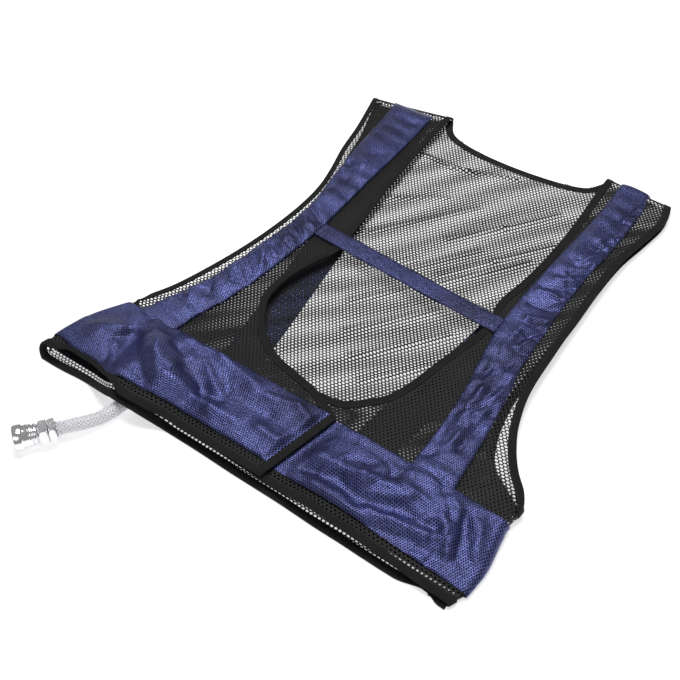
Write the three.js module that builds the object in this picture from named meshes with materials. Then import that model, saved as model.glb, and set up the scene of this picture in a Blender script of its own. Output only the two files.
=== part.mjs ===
// Cooling vest lying on its back, front side up.
// Sizes are in millimetres. X runs across the vest and Z is up. Y runs from the hem to the neck.
// The wearer's right half is at -X and the left half is at +X.
//
// A black mesh body (one back panel, two front panels) carries blue air ducts on its outside.
// Each cloth piece is a thin wall cut from a grid of rows and lines that its neighbours share,
// so that layers lie on each other with the same small gap everywhere.
import * as THREE from 'three';

// Driving sizes
const bodyLength = 650; // hem to shoulder tip
const halfWidth = 280; // centre line to the side fold
const clothWall = 1.2; // mesh and duct fabric
const layerGap = 0.3; // air between two pieces that touch
const tapeWidth = 9.5; // binding tape, as it shows on one side
const tapeThickness = 2.4;
const loft = 13; // air between the back panel and the front panels
const flapDrop = 6; // how much lower the left front lies where the flap covers it
const ductWidth = 50;
const ductArch = 5; // how far a front duct stands up over its mesh
const bandHeight = 87; // waist ducts
const bandAbove = 18; // from the hem's edge to the waist duct
const bandArch = 4;
const strapWidth = 25;
const strapThickness = 2;
const hoseDiameter = 17.5;
const cuffWall = 1.5; // fabric cuff that holds the hose under the back
const humpFlat = 19; // half the width of the level top that the back has over the hose
const hemSlip = 0.5; // how far the hem slips forward where it is lifted, a share of the lift
const hoseSqueeze = 0.4; // how much of the hose's height the air over the back gives up
const humpReach = 62; // how far from the hose the back comes down to the floor
const nutLength = 8;
const nutAcrossFlats = 25;
const bodyHexLength = 10;
const bodyHexAcrossFlats = 25.6;
const sleeveLength = 26;
const sleeveDiameter = 30;
const sleeveBore = 17;
const sleeveBoreDepth = 20;

// Colours
const meshColour = 0x24242a;
const ductColour = 0x2c2d66;
const tapeColour = 0x1b1b1d;
const hoseColour = 0xe8e6ea;
const chromeColour = 0xc9cbce;

// Outline of each half seen from above.
// up is a share of bodyLength and out a share of halfWidth, on the front panel's edge.
// backIn is how far the back panel's edge lies inside it, a share of halfWidth.
const outline = {
  right: [
    { up: 0.0, out: 1.026, backIn: 0.02 },
    { up: 0.045, out: 0.996, backIn: 0.012 },
    { up: 0.095, out: 0.96, backIn: 0.01 },
    { up: 0.14, out: 0.914, backIn: 0.008 },
    { up: 0.19, out: 0.858, backIn: 0.008 },
    { up: 0.25, out: 0.79, backIn: 0.016 },
    { up: 0.32, out: 0.737, backIn: 0.022 },
    { up: 0.4, out: 0.69, backIn: 0.026 },
    { up: 0.48, out: 0.658, backIn: 0.026 },
    { up: 0.56, out: 0.641, backIn: 0.026 },
    { up: 0.63, out: 0.645, backIn: 0.026 },
    { up: 0.69, out: 0.672, backIn: 0.026 },
    { up: 0.76, out: 0.718, backIn: 0.026 },
    { up: 0.84, out: 0.757, backIn: 0.024 },
    { up: 0.91, out: 0.8, backIn: 0.014 },
    { up: 1.0, out: 0.856, backIn: 0.0 },
  ],
  left: [
    { up: 0.0, out: 0.975, backIn: 0.008 },
    { up: 0.04, out: 0.993, backIn: 0.008 },
    { up: 0.08, out: 0.998, backIn: 0.008 },
    { up: 0.13, out: 0.986, backIn: 0.008 },
    { up: 0.172, out: 0.974, backIn: 0.008 },
    { up: 0.2, out: 0.978, backIn: 0.01 },
    { up: 0.222, out: 0.952, backIn: 0.045 },
    { up: 0.25, out: 0.894, backIn: 0.072 },
    { up: 0.285, out: 0.842, backIn: 0.062 },
    { up: 0.33, out: 0.796, backIn: 0.046 },
    { up: 0.4, out: 0.758, backIn: 0.03 },
    { up: 0.5, out: 0.748, backIn: 0.014 },
    { up: 0.6, out: 0.744, backIn: 0.006 },
    { up: 0.7, out: 0.744, backIn: 0.0 },
    { up: 0.79, out: 0.754, backIn: -0.006 },
    { up: 0.87, out: 0.784, backIn: -0.012 },
    { up: 0.94, out: 0.808, backIn: -0.012 },
    { up: 1.0, out: 0.78, backIn: 0.0 },
  ],
};

// Rows above the waist duct. up is where a row starts on the outer edge, and out and inUp
// are where it ends on the front edge. A negative out lies past the centre line.
const rows = {
  right: [
    { up: 0.19, out: -0.164, inUp: 0.182 },
    { up: 0.216, out: -0.064, inUp: 0.203 },
    { up: 0.244, out: 0.043, inUp: 0.214 },
    { up: 0.276, out: 0.164, inUp: 0.226 },
    { up: 0.31, out: 0.257, inUp: 0.248 },
    { up: 0.348, out: 0.339, inUp: 0.282 },
    { up: 0.39, out: 0.4, inUp: 0.33 },
    { up: 0.435, out: 0.402, inUp: 0.388 },
    { up: 0.48, out: 0.372, inUp: 0.44 },
    { up: 0.535, out: 0.318, inUp: 0.504 },
    { up: 0.59, out: 0.329, inUp: 0.568 },
    { up: 0.65, out: 0.346, inUp: 0.64 },
    { up: 0.715, out: 0.366, inUp: 0.716 },
    { up: 0.78, out: 0.381, inUp: 0.79 },
    { up: 0.845, out: 0.393, inUp: 0.862 },
    { up: 0.905, out: 0.4, inUp: 0.93 },
  ],
  left: [
    { up: 0.2, out: -0.15, inUp: 0.18 },
    { up: 0.222, out: -0.05, inUp: 0.2 },
    { up: 0.25, out: 0.06, inUp: 0.208 },
    { up: 0.28, out: 0.16, inUp: 0.214 },
    { up: 0.315, out: 0.235, inUp: 0.234 },
    { up: 0.35, out: 0.3, inUp: 0.262 },
    { up: 0.39, out: 0.342, inUp: 0.31 },
    { up: 0.435, out: 0.372, inUp: 0.368 },
    { up: 0.48, out: 0.408, inUp: 0.43 },
    { up: 0.53, out: 0.436, inUp: 0.492 },
    { up: 0.585, out: 0.418, inUp: 0.56 },
    { up: 0.645, out: 0.446, inUp: 0.635 },
    { up: 0.71, out: 0.462, inUp: 0.71 },
    { up: 0.775, out: 0.466, inUp: 0.785 },
    { up: 0.845, out: 0.462, inUp: 0.858 },
    { up: 0.91, out: 0.452, inUp: 0.93 },
  ],
};

// Ends of the shoulder seam, and the flap's or the hidden front's end at the hem and duct top
const corners = {
  right: { tipOut: 0.404, tipUp: 1.0, shoulderUp: 0.962, endHem: -0.118, endTop: -0.204 },
  left: { tipOut: 0.45, tipUp: 1.006, shoulderUp: 0.998, endHem: -0.14, endTop: -0.18 },
};

// Height of the front hem's edge over the line of the back hem
const hemUp = {
  right: [
    { out: -0.15, up: 0.012 },
    { out: 0.5, up: 0.016 },
    { out: 1.0, up: 0.012 },
  ],
  left: [
    { out: -0.15, up: 0.015 },
    { out: 0.35, up: 0.013 },
    { out: 0.7, up: 0.005 },
    { out: 1.0, up: 0.0 },
  ],
};

// Middle line and width of the front ducts; wide is a share of ductWidth
const frontDuct = {
  right: [
    { up: 0.166, out: 0.7, wide: 1.08 },
    { up: 0.22, out: 0.668, wide: 0.96 },
    { up: 0.26, out: 0.632, wide: 0.93 },
    { up: 0.315, out: 0.596, wide: 0.86 },
    { up: 0.38, out: 0.57, wide: 0.84 },
    { up: 0.45, out: 0.55, wide: 0.8 },
    { up: 0.52, out: 0.532, wide: 0.76 },
    { up: 0.6, out: 0.532, wide: 0.78 },
    { up: 0.67, out: 0.545, wide: 0.9 },
    { up: 0.77, out: 0.562, wide: 1.07 },
    { up: 0.88, out: 0.578, wide: 1.17 },
    { up: 0.975, out: 0.6, wide: 1.27 },
  ],
  left: [
    { up: 0.166, out: 0.645, wide: 1.06 },
    { up: 0.24, out: 0.638, wide: 0.98 },
    { up: 0.31, out: 0.628, wide: 0.94 },
    { up: 0.38, out: 0.608, wide: 0.94 },
    { up: 0.43, out: 0.59, wide: 0.94 },
    { up: 0.49, out: 0.578, wide: 1.0 },
    { up: 0.55, out: 0.574, wide: 1.0 },
    { up: 0.63, out: 0.577, wide: 0.94 },
    { up: 0.72, out: 0.588, wide: 0.92 },
    { up: 0.82, out: 0.604, wide: 0.92 },
    { up: 0.92, out: 0.61, wide: 0.9 },
    { up: 0.98, out: 0.598, wide: 0.82 },
  ],
};

// The same for the back ducts, which draw together towards the waist
const backDuct = {
  right: [
    { up: 0.166, out: 0.308, wide: 1.0 },
    { up: 0.26, out: 0.337, wide: 1.0 },
    { up: 0.51, out: 0.418, wide: 1.0 },
    { up: 0.75, out: 0.507, wide: 1.05 },
    { up: 0.98, out: 0.6, wide: 1.2 },
  ],
  left: [
    { up: 0.166, out: 0.36, wide: 1.0 },
    { up: 0.3, out: 0.402, wide: 1.0 },
    { up: 0.37, out: 0.44, wide: 1.0 },
    { up: 0.5, out: 0.484, wide: 1.0 },
    { up: 0.75, out: 0.55, wide: 0.95 },
    { up: 0.98, out: 0.598, wide: 0.82 },
  ],
};

// Neck edge of the back panel. across runs from the right duct's inner edge to the left duct's.
const neck = [
  { across: 0.0, up: 0.985 },
  { across: 0.082, up: 1.0 },
  { across: 0.16, up: 0.951 },
  { across: 0.35, up: 0.932 },
  { across: 0.62, up: 0.935 },
  { across: 0.85, up: 0.958 },
  { across: 0.93, up: 1.006 },
  { across: 1.0, up: 1.003 },
];

// Where the front stands higher or lower than its even loft; rise is a share of loft
const puffs = [
  { x: -0.92, up: 0.04, reach: 0.24, rise: 0.5 },
  { x: 0.94, up: 0.0, reach: 0.24, rise: -0.55 },
  { x: 0.8, up: 0.13, reach: 0.16, rise: 0.2 },
  { x: -0.6, up: 0.98, reach: 0.3, rise: -0.45 },
  { x: 0.62, up: 0.99, reach: 0.3, rise: -0.45 },
];

// Folds in the waist ducts: a ridge or a valley from one point to another.
// deep is a share of bandArch, and wide a share of bandHeight.
const folds = [
  { x1: -0.93, up1: 0.13, x2: -0.62, up2: 0.04, wide: 0.28, deep: 0.9 },
  { x1: -0.8, up1: 0.15, x2: -0.5, up2: 0.06, wide: 0.22, deep: -0.7 },
  { x1: -0.62, up1: 0.14, x2: -0.3, up2: 0.05, wide: 0.24, deep: 0.7 },
  { x1: -0.36, up1: 0.13, x2: -0.12, up2: 0.05, wide: 0.22, deep: -0.6 },
  { x1: 0.2, up1: 0.08, x2: 0.62, up2: 0.05, wide: 0.2, deep: -0.8 },
  { x1: 0.3, up1: 0.13, x2: 0.7, up2: 0.08, wide: 0.24, deep: 0.7 },
  { x1: 0.76, up1: 0.15, x2: 0.9, up2: 0.03, wide: 0.26, deep: -1.0 },
];

// Middle line of the hose, from inside its cuff under the back panel to the coupling's nut,
// in shares of bodyLength
const hoseRoute = [
  { across: -0.22, up: 0.0708 },
  { across: -0.2231, up: 0.0554 },
  { across: -0.2269, up: 0.0385 },
  { across: -0.2315, up: 0.02 },
  { across: -0.2354, up: 0 },
  { across: -0.2392, up: -0.02 },
  { across: -0.2446, up: -0.04 },
  { across: -0.2531, up: -0.0585 },
  { across: -0.2631, up: -0.0754 },
  { across: -0.2738, up: -0.0908 },
  { across: -0.2838, up: -0.1031 },
];
const cuffEnd = 2; // the route's point where the cuff stops
const hemCrossing = 4; // the route's point under the back hem
const hoseRises = 6; // the route's point from which the hose rises to the coupling

const halves = ['right', 'left'];
const side = { right: -1, left: 1 };
const hoseRadius = hoseDiameter / 2;
const cuffRadius = hoseRadius + layerGap + cuffWall;
const couplingRadius = sleeveDiameter / 2;
const hosePlaces = hoseRoute.map((row) => ({ x: row.across * bodyLength, y: row.up * bodyLength }));
const meshLift = clothWall + layerGap; // the back mesh lies on the back ducts' fabric
const tapeBelow = (tapeThickness - clothWall) / 2;
const seamLift = meshLift + clothWall + 2 * layerGap; // where a front seam meets the back

// A smooth curve through a table's rows: the value of one column at a place in another
function curve(table, key, value) {
  const last = table.length - 1;
  const slope = (i) => {
    const a = table[Math.max(i - 1, 0)];
    const b = table[Math.min(i + 1, last)];
    return (b[value] - a[value]) / (b[key] - a[key]);
  };
  return (at) => {
    if (at <= table[0][key]) {
      return table[0][value];
    }
    if (at >= table[last][key]) {
      return table[last][value];
    }
    const i = table.findIndex((row) => row[key] > at) - 1;
    const width = table[i + 1][key] - table[i][key];
    const t = (at - table[i][key]) / width;
    const start = table[i][value] * (1 + 2 * t) * (1 - t) * (1 - t);
    const end = table[i + 1][value] * t * t * (3 - 2 * t);
    const leave = slope(i) * width * t * (1 - t) * (1 - t);
    const arrive = slope(i + 1) * width * t * t * (t - 1);
    return start + end + leave + arrive;
  };
}

function mix(a, b, t) {
  return a + (b - a) * t;
}

function smooth(t) {
  const held = Math.min(Math.max(t, 0), 1);
  return held * held * (3 - 2 * held);
}

// Distance from a point to a stretch, and how far along the stretch the nearest place is
function toStretch(x, y, a, b) {
  const dx = b.x - a.x;
  const dy = b.y - a.y;
  const along = ((x - a.x) * dx + (y - a.y) * dy) / (dx * dx + dy * dy);
  const t = Math.min(Math.max(along, 0), 1);
  return { far: Math.hypot(x - a.x - dx * t, y - a.y - dy * t), t };
}

// How far the back is lifted off the floor by the hose and its cuff
function hump(x, y) {
  const overHose = hoseDiameter + 4 * layerGap;
  const overCuff = 2 * cuffRadius + 4 * layerGap;
  let lift = 0;
  for (let i = 0; i <= hemCrossing; i += 1) {
    const { far } = toStretch(x, y, hosePlaces[i], hosePlaces[i + 1]);
    const top = i < cuffEnd ? overCuff : overHose;
    lift = Math.max(lift, top * (1 - smooth((far - humpFlat) / (humpReach - humpFlat))));
  }
  return lift;
}

// How far the cloth over the hose slips towards the hem
function hemForward(x, y) {
  const nearHem = 1 - smooth(y / (bandAbove + bandHeight));
  return hemSlip * hump(x, 0) * nearHem;
}

// Height of the front panels' lower face over the place where a seam meets the back
function frontLoft(half, x, y) {
  let share = 1;
  for (const puff of puffs) {
    const far = Math.hypot(x - puff.x * halfWidth, y - puff.up * bodyLength);
    share += puff.rise * (1 - smooth(far / (puff.reach * bodyLength)));
  }
  const covered = half === 'left' ? smooth((0.36 * halfWidth - x) / (0.2 * halfWidth)) : 0;
  const low = covered * (1 - smooth((y / bodyLength - 0.2) / 0.06));
  return loft * share - hoseSqueeze * hump(x, y) - flapDrop * low;
}

// Extra height of the waist ducts' fabric in their folds
function foldHeight(x, y) {
  let height = 0;
  for (const fold of folds) {
    const a = { x: fold.x1 * halfWidth, y: fold.up1 * bodyLength };
    const b = { x: fold.x2 * halfWidth, y: fold.up2 * bodyLength };
    const { far } = toStretch(x, y, a, b);
    height += fold.deep * bandArch * (1 - smooth(far / (fold.wide * bandHeight)));
  }
  return height;
}

// Adds to a grid of points the direction that its cloth faces at each of them.
// The two rows or lines on both sides of a gap share one direction, so that the gap stays even.
function withNormals(points, turn, gapRows, gapLines) {
  const at = (r, c) => {
    const row = points[Math.min(Math.max(r, 0), points.length - 1)];
    return row[Math.min(Math.max(c, 0), row.length - 1)];
  };
  const normals = points.map((row, r) => row.map((_, c) => {
    const across = at(r, c + 1).clone().sub(at(r, c - 1));
    const up = at(r + 1, c).clone().sub(at(r - 1, c));
    return across.cross(up).multiplyScalar(turn).normalize();
  }));
  const share = (a, b) => {
    a.add(b).normalize();
    b.copy(a);
  };
  for (const r of gapRows) {
    normals[r].forEach((normal, c) => share(normal, normals[r + 1][c]));
  }
  for (const c of gapLines) {
    normals.forEach((row) => share(row[c], row[c + 1]));
  }
  return { points, normals, turn };
}

// One closed wall over those cells of a grid that belong to a piece.
// lower and upper give its two faces' distance from the grid, along the cloth's direction.
function wall(grid, inPiece, lower, upper) {
  const rowCount = grid.points.length - 1;
  const lineCount = grid.points[0].length - 1;
  const has = (r, c) => r >= 0 && c >= 0 && r < rowCount && c < lineCount && inPiece(r, c);
  const positions = [];
  const indices = [];
  const known = new Map();
  const vertex = (r, c, top) => {
    const name = `${r} ${c} ${top}`;
    if (!known.has(name)) {
      known.set(name, positions.length / 3);
      const away = top ? upper(r, c) : lower(r, c);
      const place = grid.points[r][c].clone().addScaledVector(grid.normals[r][c], away);
      positions.push(place.x, place.y, place.z);
    }
    return known.get(name);
  };
  const face = (a, b, c) => {
    indices.push(...(grid.turn > 0 ? [a, b, c] : [a, c, b]));
  };
  for (let r = 0; r < rowCount; r += 1) {
    for (let c = 0; c < lineCount; c += 1) {
      if (has(r, c)) {
        const ring = [[r, c], [r, c + 1], [r + 1, c + 1], [r + 1, c]];
        const tops = ring.map(([i, j]) => vertex(i, j, true));
        const bottoms = ring.map(([i, j]) => vertex(i, j, false));
        face(tops[0], tops[1], tops[2]);
        face(tops[0], tops[2], tops[3]);
        face(bottoms[0], bottoms[2], bottoms[1]);
        face(bottoms[0], bottoms[3], bottoms[2]);
        const beyond = [has(r - 1, c), has(r, c + 1), has(r + 1, c), has(r, c - 1)];
        beyond.forEach((joined, k) => {
          const next = (k + 1) % 4;
          if (!joined) {
            face(bottoms[k], bottoms[next], tops[next]);
            face(bottoms[k], tops[next], tops[k]);
          }
        });
      }
    }
  }
  const geometry = new THREE.BufferGeometry();
  geometry.setAttribute('position', new THREE.Float32BufferAttribute(positions, 3));
  geometry.setIndex(indices);
  geometry.computeVertexNormals();
  return geometry;
}

// Lines of the front grid: the side wrap or armhole tape, the duct, and the front edge's tape
const wrapLines = 3;
const ductCells = 4;
const meshCells = 5;
const stripCells = 2;
const lineOf = {
  panelStart: wrapLines,
  ductStart: wrapLines + stripCells,
  ductEnd: wrapLines + stripCells + ductCells,
  panelEnd: wrapLines + stripCells + ductCells + meshCells,
};
lineOf.tapeStart = lineOf.panelEnd + 1;
lineOf.edge = lineOf.tapeStart + 1;
// Rows of the front and back grids
const bandCells = 4;
const rowOf = { tapeEnd: 1, panelStart: 2, bandStart: 3, bandEnd: 3 + bandCells };
rowOf.ductStart = rowOf.bandEnd + 1;
rowOf.sideEnd = rowOf.ductStart + 1;
rowOf.armholeStart = rowOf.sideEnd + 1;

// Places of the hem's tape, the waist duct's rows and the rows up to the armpit over the hem edge
function lowerRows(sideUp) {
  const places = [0, tapeWidth, tapeWidth + layerGap];
  for (let k = 0; k <= bandCells; k += 1) {
    places.push(bandAbove + (bandHeight * k) / bandCells);
  }
  places.push(bandAbove + bandHeight + layerGap);
  places.push(sideUp, sideUp + layerGap);
  return places;
}

// Outer and inner end of each row of a front panel, in distance from the centre line
function frontRows(half) {
  const edgeOut = curve(outline[half], 'up', 'out');
  const hem = curve(hemUp[half], 'out', 'up');
  const ends = corners[half];
  const found = [];
  const sideUp = rows[half][0].up * bodyLength;
  const outerHem = hem(1) * bodyLength;
  const innerHem = hem(ends.endHem) * bodyLength;
  const bandTop = bandAbove + bandHeight;
  lowerRows(sideUp - outerHem).forEach((over, k) => {
    const outerUp = over + outerHem;
    const reach = Math.min(over / bandTop, 1);
    const past = k >= rowOf.sideEnd;
    const innerUp = past ? rows[half][0].inUp * bodyLength + over - (sideUp - outerHem) : over + innerHem;
    const innerOut = past ? rows[half][0].out : mix(ends.endHem, ends.endTop, reach);
    found.push({
      outer: { out: edgeOut(outerUp / bodyLength) * halfWidth, up: outerUp },
      inner: { out: innerOut * halfWidth, up: innerUp },
      wrap: 1,
      rise: 1,
    });
  });
  for (const row of rows[half].slice(1)) {
    found.push({
      outer: { out: edgeOut(row.up) * halfWidth, up: row.up * bodyLength },
      inner: { out: row.out * halfWidth, up: row.inUp * bodyLength },
      wrap: 0,
      rise: 1,
    });
  }
  // The last rows bend down over the shoulder
  const shoulder = [
    { under: 7, rise: 0.86 },
    { under: 1.5, rise: 0.5 },
    { under: 2.5, rise: 0.1 },
  ];
  for (const step of shoulder) {
    found.push({
      outer: { out: edgeOut(1) * halfWidth, up: ends.shoulderUp * bodyLength - step.under },
      inner: { out: ends.tipOut * halfWidth, up: ends.tipUp * bodyLength - step.under },
      wrap: 0,
      rise: step.rise,
    });
  }
  return found;
}

// Where a row crosses a line whose distance from the centre depends on how far up it is
function crossing(row, outAt) {
  let t = 0.5;
  for (let i = 0; i < 6; i += 1) {
    const up = mix(row.outer.up, row.inner.up, t);
    t = (outAt(up) - row.outer.out) / (row.inner.out - row.outer.out);
  }
  return t;
}

function frontGrid(half) {
  const duct = frontDuct[half];
  const middle = curve(duct, 'up', 'out');
  const wide = curve(duct, 'up', 'wide');
  const ductAt = (share) => (up) => {
    const width = wide(up / bodyLength) * ductWidth;
    return middle(up / bodyLength) * halfWidth + width * (0.5 - share);
  };
  const points = frontRows(half).map((row) => {
    const length = Math.hypot(row.inner.out - row.outer.out, row.inner.up - row.outer.up);
    // The outer lines: in the side wrap they go round the fold, and at the armhole they lie flat
    const around = [
      { in: 2.5, rise: 0 },
      { in: 0, rise: 0.5 },
      { in: 5, rise: 0.94 },
      { in: 5 + 4 * layerGap, rise: 0.96 },
    ];
    const flat = [0, tapeWidth / 2, tapeWidth, tapeWidth + layerGap];
    const places = around.map((step, k) => ({
      t: mix(flat[k], step.in, row.wrap) / length,
      rise: mix(1, step.rise, row.wrap),
    }));
    const start = places[wrapLines].t;
    const ductOuter = crossing(row, ductAt(0));
    const ductInner = crossing(row, ductAt(1));
    const end = 1 - (tapeWidth + layerGap) / length;
    for (let k = 1; k <= stripCells; k += 1) {
      places.push({ t: mix(start, ductOuter, k / stripCells), rise: 1 });
    }
    for (let k = 1; k <= ductCells; k += 1) {
      places.push({ t: mix(ductOuter, ductInner, k / ductCells), rise: 1 });
    }
    for (let k = 1; k <= meshCells; k += 1) {
      places.push({ t: mix(ductInner, end, k / meshCells), rise: 1 });
    }
    places.push({ t: 1 - tapeWidth / length, rise: 1 });
    places.push({ t: 1, rise: 1 });
    return places.map((place) => {
      const x = side[half] * mix(row.outer.out, row.inner.out, place.t);
      const y = mix(row.outer.up, row.inner.up, place.t);
      const seam = seamLift + hump(x, y);
      const z = seam + frontLoft(half, x, y) * place.rise * row.rise;
      return new THREE.Vector3(x, y - hemForward(x, y), z);
    });
  });
  const gapRows = [rowOf.tapeEnd, rowOf.bandEnd, rowOf.sideEnd];
  return withNormals(points, -side[half], gapRows, [lineOf.panelStart - 1, lineOf.panelEnd]);
}

// Lines of the back grid, from the right side to the left side
const backStripCells = 4;
const backDuctCells = 2;
const neckCells = neck.length - 1;
const backLine = { rightStart: 2 };
backLine.rightDuct = backLine.rightStart + backStripCells;
backLine.rightDuctEnd = backLine.rightDuct + backDuctCells;
backLine.neckStart = backLine.rightDuctEnd + 1;
backLine.neckEnd = backLine.rightDuctEnd + neckCells - 1;
backLine.leftDuct = backLine.rightDuctEnd + neckCells;
backLine.leftDuctEnd = backLine.leftDuct + backDuctCells;
backLine.leftStart = backLine.leftDuctEnd + backStripCells;
backLine.end = backLine.leftStart + 2;
const backUpperShares = [0.05, 0.1, 0.16, 0.23, 0.31, 0.4, 0.5, 0.6, 0.7, 0.79, 0.88, 0.95];

// The lines that cross one row of the back, as places across and their own top ends
function backLines(up) {
  const atUp = up / bodyLength;
  const places = [];
  const half = (name) => {
    const edge = curve(outline[name], 'up', 'out')(atUp) - curve(outline[name], 'up', 'backIn')(atUp);
    const middle = curve(backDuct[name], 'up', 'out')(atUp) * halfWidth;
    const reach = (curve(backDuct[name], 'up', 'wide')(atUp) * ductWidth) / 2;
    const outer = edge * halfWidth;
    const start = outer - tapeWidth - layerGap;
    const found = [outer, outer - tapeWidth, start];
    for (let k = 1; k <= backStripCells; k += 1) {
      found.push(mix(start, middle + reach, k / backStripCells));
    }
    for (let k = 1; k <= backDuctCells; k += 1) {
      found.push(middle + reach - (2 * reach * k) / backDuctCells);
    }
    return found.map((out) => out * side[name]);
  };
  const right = half('right');
  const left = half('left').reverse();
  places.push(...right);
  const from = right[right.length - 1];
  const to = left[0];
  for (let k = 1; k < neckCells; k += 1) {
    places.push(mix(from, to, neck[k].across));
  }
  places.push(...left);
  return places;
}

function backTops() {
  const right = corners.right;
  const left = corners.left;
  const count = backLine.rightDuctEnd;
  const tops = [];
  for (let k = 0; k < count; k += 1) {
    tops.push(mix(right.shoulderUp, neck[0].up, k / count));
  }
  tops.push(...neck.map((row) => row.up));
  const rest = backLine.end - backLine.leftDuct;
  for (let k = 1; k <= rest; k += 1) {
    tops.push(mix(neck[neck.length - 1].up, left.shoulderUp, k / rest));
  }
  return tops.map((up) => up * bodyLength);
}

function backGrid() {
  const tops = backTops();
  const armpit = rows.right[0].up * bodyLength;
  const places = lowerRows(armpit);
  const points = places.map((up) => backLines(up).map((x) => new THREE.Vector3(x, up, 0)));
  const base = places[places.length - 1];
  for (const share of backUpperShares) {
    const row = tops.map((top, c) => {
      const up = mix(base, top - tapeWidth - layerGap, share);
      return new THREE.Vector3(backLines(up)[c], up, 0);
    });
    points.push(row);
  }
  // The top edge, and the tape's inner edge at right angles to it
  const edge = tops.map((top, c) => new THREE.Vector3(backLines(top)[c], top, 0));
  const inset = (distance) => edge.map((point, c) => {
    const before = edge[Math.max(c - 1, 0)];
    const after = edge[Math.min(c + 1, edge.length - 1)];
    const along = after.clone().sub(before).normalize();
    const inNeck = c > backLine.neckStart - 1 && c < backLine.neckEnd + 1;
    const x = inNeck ? point.x + along.y * distance : backLines(point.y - distance)[c];
    return new THREE.Vector3(x, point.y - distance, 0);
  });
  points.push(inset(tapeWidth + layerGap), inset(tapeWidth), edge);
  points.forEach((row) => row.forEach((point) => {
    point.z = meshLift + hump(point.x, point.y);
    point.y -= hemForward(point.x, point.y);
  }));
  const gapRows = [rowOf.tapeEnd, rowOf.bandEnd, rowOf.sideEnd, points.length - 3];
  return withNormals(points, 1, gapRows, [1, backLine.end - 2]);
}

const vest = new THREE.Group();
const steady = (distance) => () => distance;

function add(name, geometry, colour, roughness, metalness = 0) {
  const material = new THREE.MeshStandardMaterial({ color: colour, roughness, metalness });
  const mesh = new THREE.Mesh(geometry, material);
  mesh.name = name;
  vest.add(mesh);
  return mesh;
}

function addMesh(name, grid, inPiece) {
  add(name, wall(grid, inPiece, steady(0), steady(clothWall)), meshColour, 0.85);
}

function addTape(name, grid, inPiece, lower = -tapeBelow) {
  add(name, wall(grid, inPiece, steady(lower), steady(lower + tapeThickness)), tapeColour, 0.9);
}

function addDuct(name, grid, inPiece, rise) {
  const lower = (r, c) => clothWall + layerGap + rise(r, c);
  add(name, wall(grid, inPiece, lower, (r, c) => lower(r, c) + clothWall), ductColour, 0.45);
}

// How far a duct's fabric stands up, from 0 at its sewn edges to 1 in the middle
function archShare(share) {
  return Math.sin(Math.PI * Math.min(Math.max(share, 0), 1)) ** 0.7;
}

function addFront(half) {
  const grid = frontGrid(half);
  const topRow = grid.points.length - 1;
  addMesh(`front_panel_${half}`, grid, (r, c) => {
    const inBody = r >= rowOf.panelStart && c < lineOf.panelEnd;
    return inBody && (c >= lineOf.panelStart || r < rowOf.sideEnd);
  });
  addTape(`hem_tape_${half}`, grid, (r) => r < rowOf.tapeEnd);
  addTape(`armhole_tape_front_${half}`, grid, (r, c) => (
    r >= rowOf.armholeStart && c < lineOf.panelStart - 1
  ));
  addTape(`front_edge_tape_${half}`, grid, (r, c) => (
    r >= rowOf.panelStart && c >= lineOf.tapeStart
  ));
  addDuct(`front_duct_${half}`, grid, (r, c) => (
    r >= rowOf.ductStart && c >= lineOf.ductStart && c < lineOf.ductEnd
  ), (r, c) => {
    const gather = r % 2 === 0 ? 1.12 : 0.88;
    const atTop = smooth((topRow - r) / 2);
    return ductArch * gather * atTop * archShare((c - lineOf.ductStart) / ductCells);
  });
  addDuct(`waist_duct_${half}`, grid, (r, c) => (
    r >= rowOf.bandStart && r < rowOf.bandEnd && c < lineOf.panelEnd
  ), (r, c) => {
    const point = grid.points[r][c];
    const under = half === 'left' ? smooth((point.x - 0.24 * halfWidth) / (0.1 * halfWidth)) : 1;
    const atSide = smooth((c - 1) / 2);
    const high = bandArch + foldHeight(point.x, point.y);
    const share = archShare((r - rowOf.bandStart) / bandCells);
    return Math.max(high, 0) * share * under * atSide;
  });
  return grid;
}

function addBack() {
  const grid = backGrid();
  const topRow = grid.points.length - 1;
  const isNeck = (c) => c >= backLine.neckStart && c < backLine.neckEnd;
  const inside = (c) => c >= backLine.rightStart && c < backLine.leftStart;
  addMesh('back_panel', grid, (r, c) => {
    const belowTape = r < topRow - 2 || !isNeck(c);
    return r >= rowOf.panelStart && belowTape && (inside(c) || r < rowOf.sideEnd);
  });
  addTape('hem_tape_back', grid, (r) => r < rowOf.tapeEnd, -meshLift);
  addTape('neck_tape_back', grid, (r, c) => r === topRow - 1 && isNeck(c), -meshLift);
  addTape('armhole_tape_back_right', grid, (r, c) => r >= rowOf.armholeStart && c === 0, -meshLift);
  addTape('armhole_tape_back_left', grid, (r, c) => (
    r >= rowOf.armholeStart && c === backLine.end - 1
  ), -meshLift);
  const under = (name, inPiece) => {
    const geometry = wall(grid, inPiece, steady(-meshLift), steady(-layerGap));
    add(name, geometry, ductColour, 0.45);
  };
  under('back_duct_right', (r, c) => (
    r >= rowOf.ductStart && c >= backLine.rightDuct && c < backLine.rightDuctEnd
  ));
  under('back_duct_left', (r, c) => (
    r >= rowOf.ductStart && c >= backLine.leftDuct && c < backLine.leftDuctEnd
  ));
  under('waist_duct_back', (r) => r >= rowOf.bandStart && r < rowOf.bandEnd);
}

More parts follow.
